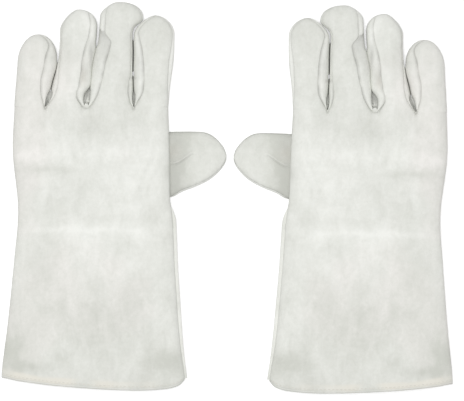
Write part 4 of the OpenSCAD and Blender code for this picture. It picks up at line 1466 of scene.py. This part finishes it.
class GAUNTLET_OT_welts(bpy.types.Operator):
    """Folded leather strips sewn into the side seams"""

    bl_idname = "gauntlet.welts"
    bl_label = "Side welts"

    def execute(self, context):
        for glove in gloves(context):
            p = glove.pattern
            grids = []
            after_thumb = p.thumb_at + p.thumb_width - 4
            # The side, how far the strip stands out of the seam, and its two ends
            for right, out, start, end in ((True, WELT_OUT, 7.0, p.thumb_at - 3),
                                           (True, 0.3, after_thumb, p.root + 1),
                                           (False, 0.5, 12.0, p.root + 1)):
                y = np.arange(start, end, 2.0)[:, None]
                angle = np.linspace(-np.pi / 2, np.pi / 2, 9)[None, :]
                edge = p.right_side(y) - p.welt_room(y) if right else p.left_side(y)
                width = out * smooth((end + 2 - y) / 20)
                sunk = 0.8 + 0.9 * smooth((y - end + 9) / 9)
                x = edge + (1 if right else -1) * (width * np.cos(angle) - sunk)
                x = x + 0.12 * wander(stacked(x, y, 0.0), 9.0)
                grid = stacked(x, y, p.side_seam + 0.75 * np.sin(angle))
                if right:
                    grid = grid[:, ::-1]
                grids.append((grid, glove.marks(grid, np.full(x.shape, FAR), tone=0.35)))
            glove.leather("side_welts", grids)
        return {"FINISHED"}


# Room between the leather and its lining, and how much more of it a finger has
LINING_SLACK = 0.4
FINGER_SLACK = 1.3
# A finger's lining starts this far above the crotch line, and its end rounds off over this length
LINING_START = 4.7
LINING_TIP = 16.0


def sleeve(pattern, heights, inset, thickness):
    """Lining sleeve with an inner and an outer face, open at both ends."""
    u = np.sin(np.pi / 2 * np.linspace(1, -1, 41))
    outer = np.array([pattern.lining_ring(y, inset, u) for y in heights])
    inner = np.array([pattern.lining_ring(y, inset + thickness, u) for y in heights])
    lip = inner[:1] + (0, -0.3, 0)
    return np.concatenate([inner[::-1], lip, outer])


class GAUNTLET_OT_linings(bpy.types.Operator):
    """Cotton linings of the cuffs, hands, fingers and thumbs, and the facing inside the hem"""

    bl_idname = "gauntlet.linings"
    bl_label = "Linings"

    def execute(self, context):
        for glove in gloves(context):
            p = glove.pattern
            inset = p.leather + LINING_SLACK
            # Heights of each sleeve's rows, and its thickness
            sleeves = {
                "hem_facing": (np.linspace(12, 28, 7), 0.9),
                "cuff_lining": (np.linspace(28.3, p.wrist_at - 11.3, 40), 0.8),
                "hand_lining": (np.linspace(p.wrist_at - 10.7, p.root - 26, 24), 0.8),
            }
            for name, (heights, thickness) in sleeves.items():
                glove.cotton(name, sleeve(p, heights, inset, thickness))
            for name in NAMES:
                self.finger(glove, name, inset + FINGER_SLACK)
            self.thumb(glove)
        return {"FINISHED"}

    def finger(self, glove, name, inset):
        p = glove.pattern
        length = FINGERS[name]["length"]
        body = np.linspace(LINING_START, length - LINING_TIP, 18)
        tip = length - LINING_TIP + 12 * np.sin(np.linspace(0, np.pi / 2, 8)[1:])
        h = np.concatenate([body, tip])[:, None]
        a = np.linspace(0, -2 * np.pi, 33)[None, :-1]
        skin = p.skin(name, h, a)
        centre = stacked(p.section(name, h)[0], p.root + h, p.seam_height(name, h))
        away = skin - centre
        reach = np.linalg.norm(away[..., [0, 2]], axis=-1, keepdims=True)
        scale = np.maximum(1 - inset / np.maximum(reach, 0.1), 0.02)
        close = round_end(h - length + LINING_TIP, 12.01, 2.0)[..., None]
        slim = mix(0.78, 1.0, smooth((h - 4) / 14))[..., None]
        grid = centre + away * scale * np.array([1, 0, 1]) * close * slim
        glove.cotton(f"{name}_lining", grid, name)

    def thumb(self, glove):
        p = glove.pattern
        # The rows inside the hand and the last ones at the tip are left out
        halves = [p.thumb_curve(upper, 17)[len(THUMB_INSIDE):-6, :-1] for upper in (True, False)]
        ring = np.concatenate(halves, axis=1)
        centre = ring.mean(axis=1, keepdims=True)
        close = round_end(np.linspace(0, 1, len(ring)) - 0.7, 0.301, 2.0)[:, None, None]
        grid = centre + (ring - centre) * np.array([1, 0.88, 0.5]) * mix(0.05, 1, close)
        glove.cotton("thumb_lining", grid, "thumb")


# The table top: how far it reaches to each side, how far it lies below the gloves, and its own glow
FLOOR_REACH = 1.8
FLOOR_DROP = 0.0002
FLOOR_GLOW = 0.42
# Light from all round, and the wide lamp above
ROOM_LIGHT = 0.435
LAMP_PLACE = (-0.2, 0.1, 3.0)
LAMP_SIZE = 1.5
LAMP_WATTS = 58.0
# The camera looks straight down: the width that it takes in at the gloves' height, its distance
# from there, and its place
VIEW_WIDTH = 0.41992
VIEW_LEVEL = 0.015
VIEW_DISTANCE = 3.5
VIEW_PLACE = (0.004417, -0.00237)
SENSOR_WIDTH = 36.0


class GAUNTLET_OT_stage(bpy.types.Operator):
    """Table top, soft light and camera"""

    bl_idname = "gauntlet.stage"
    bl_label = "Stage"

    def execute(self, context):
        scene = context.scene
        mesh = bpy.data.meshes.new("table_top")
        corners = [(FLOOR_REACH * x, FLOOR_REACH * y, 0)
                   for x, y in ((-1, -1), (1, -1), (1, 1), (-1, 1))]
        mesh.from_pydata(corners, [], [(0, 1, 2, 3)])
        mesh.materials.append(material(context, "table_top"))
        floor = bpy.data.objects.new("table_top", mesh)
        floor.location.z = -FLOOR_DROP
        scene.collection.objects.link(floor)
        self.world(scene)
        self.lamp(scene)
        self.camera(scene)
        scene.view_settings.view_transform = "Standard"
        return {"FINISHED"}

    def world(self, scene):
        s = Shader("white_room", world=True)
        light, white = (s.node("ShaderNodeBackground", {}, {"Color": (1, 1, 1), "Strength": strength})
                        for strength in (ROOM_LIGHT, 1.0))
        s.finish(s.node("ShaderNodeMixShader", {}, {0: s.directly_seen(), 1: light, 2: white}))
        scene.world = s.material

    def lamp(self, scene):
        data = bpy.data.lights.new("overhead", "AREA")
        data.shape = "DISK"
        data.size = LAMP_SIZE
        data.energy = LAMP_WATTS
        lamp = bpy.data.objects.new("overhead", data)
        lamp.location = LAMP_PLACE
        lamp.rotation_euler = (-Vector(LAMP_PLACE)).to_track_quat("-Z", "Y").to_euler()
        scene.collection.objects.link(lamp)

    def camera(self, scene):
        data = bpy.data.cameras.new("above")
        data.sensor_width = SENSOR_WIDTH
        data.lens = SENSOR_WIDTH * VIEW_DISTANCE / VIEW_WIDTH
        camera = bpy.data.objects.new("above", data)
        camera.location = (*VIEW_PLACE, VIEW_LEVEL + VIEW_DISTANCE)
        scene.collection.objects.link(camera)
        scene.camera = camera


class GAUNTLET_PT_panel(bpy.types.Panel):
    """Lists the steps that build the gauntlets"""

    bl_idname = "GAUNTLET_PT_panel"
    bl_label = "Gauntlets"
    bl_space_type = "VIEW_3D"
    bl_region_type = "UI"
    bl_category = "Gauntlets"

    def draw(self, context):
        for step in STEPS:
            self.layout.operator(step.bl_idname)
        for group in (context.scene.gauntlet_sizes, context.scene.gauntlet_finish):
            for key in group.__annotations__:
                self.layout.prop(group, key)


STEPS = (
    GAUNTLET_OT_hand_backs,
    GAUNTLET_OT_palms,
    GAUNTLET_OT_cuff_fronts,
    GAUNTLET_OT_finger_backs,
    GAUNTLET_OT_finger_fronts,
    GAUNTLET_OT_fourchettes,
    GAUNTLET_OT_crotch_webs,
    GAUNTLET_OT_thumbs,
    GAUNTLET_OT_welts,
    GAUNTLET_OT_linings,
    GAUNTLET_OT_stage,
)
CLASSES = (GauntletSizes, GauntletFinish, *STEPS, GAUNTLET_PT_panel)


def register():
    for cls in CLASSES:
        bpy.utils.register_class(cls)
    bpy.types.Scene.gauntlet_sizes = PointerProperty(type=GauntletSizes)
    bpy.types.Scene.gauntlet_finish = PointerProperty(type=GauntletFinish)


def unregister():
    del bpy.types.Scene.gauntlet_finish
    del bpy.types.Scene.gauntlet_sizes
    for cls in reversed(CLASSES):
        bpy.utils.unregister_class(cls)


def main():
    register()
    for step in STEPS:
        group, name = step.bl_idname.split(".")
        getattr(getattr(bpy.ops, group), name)()


if __name__ == "__main__":
    main()
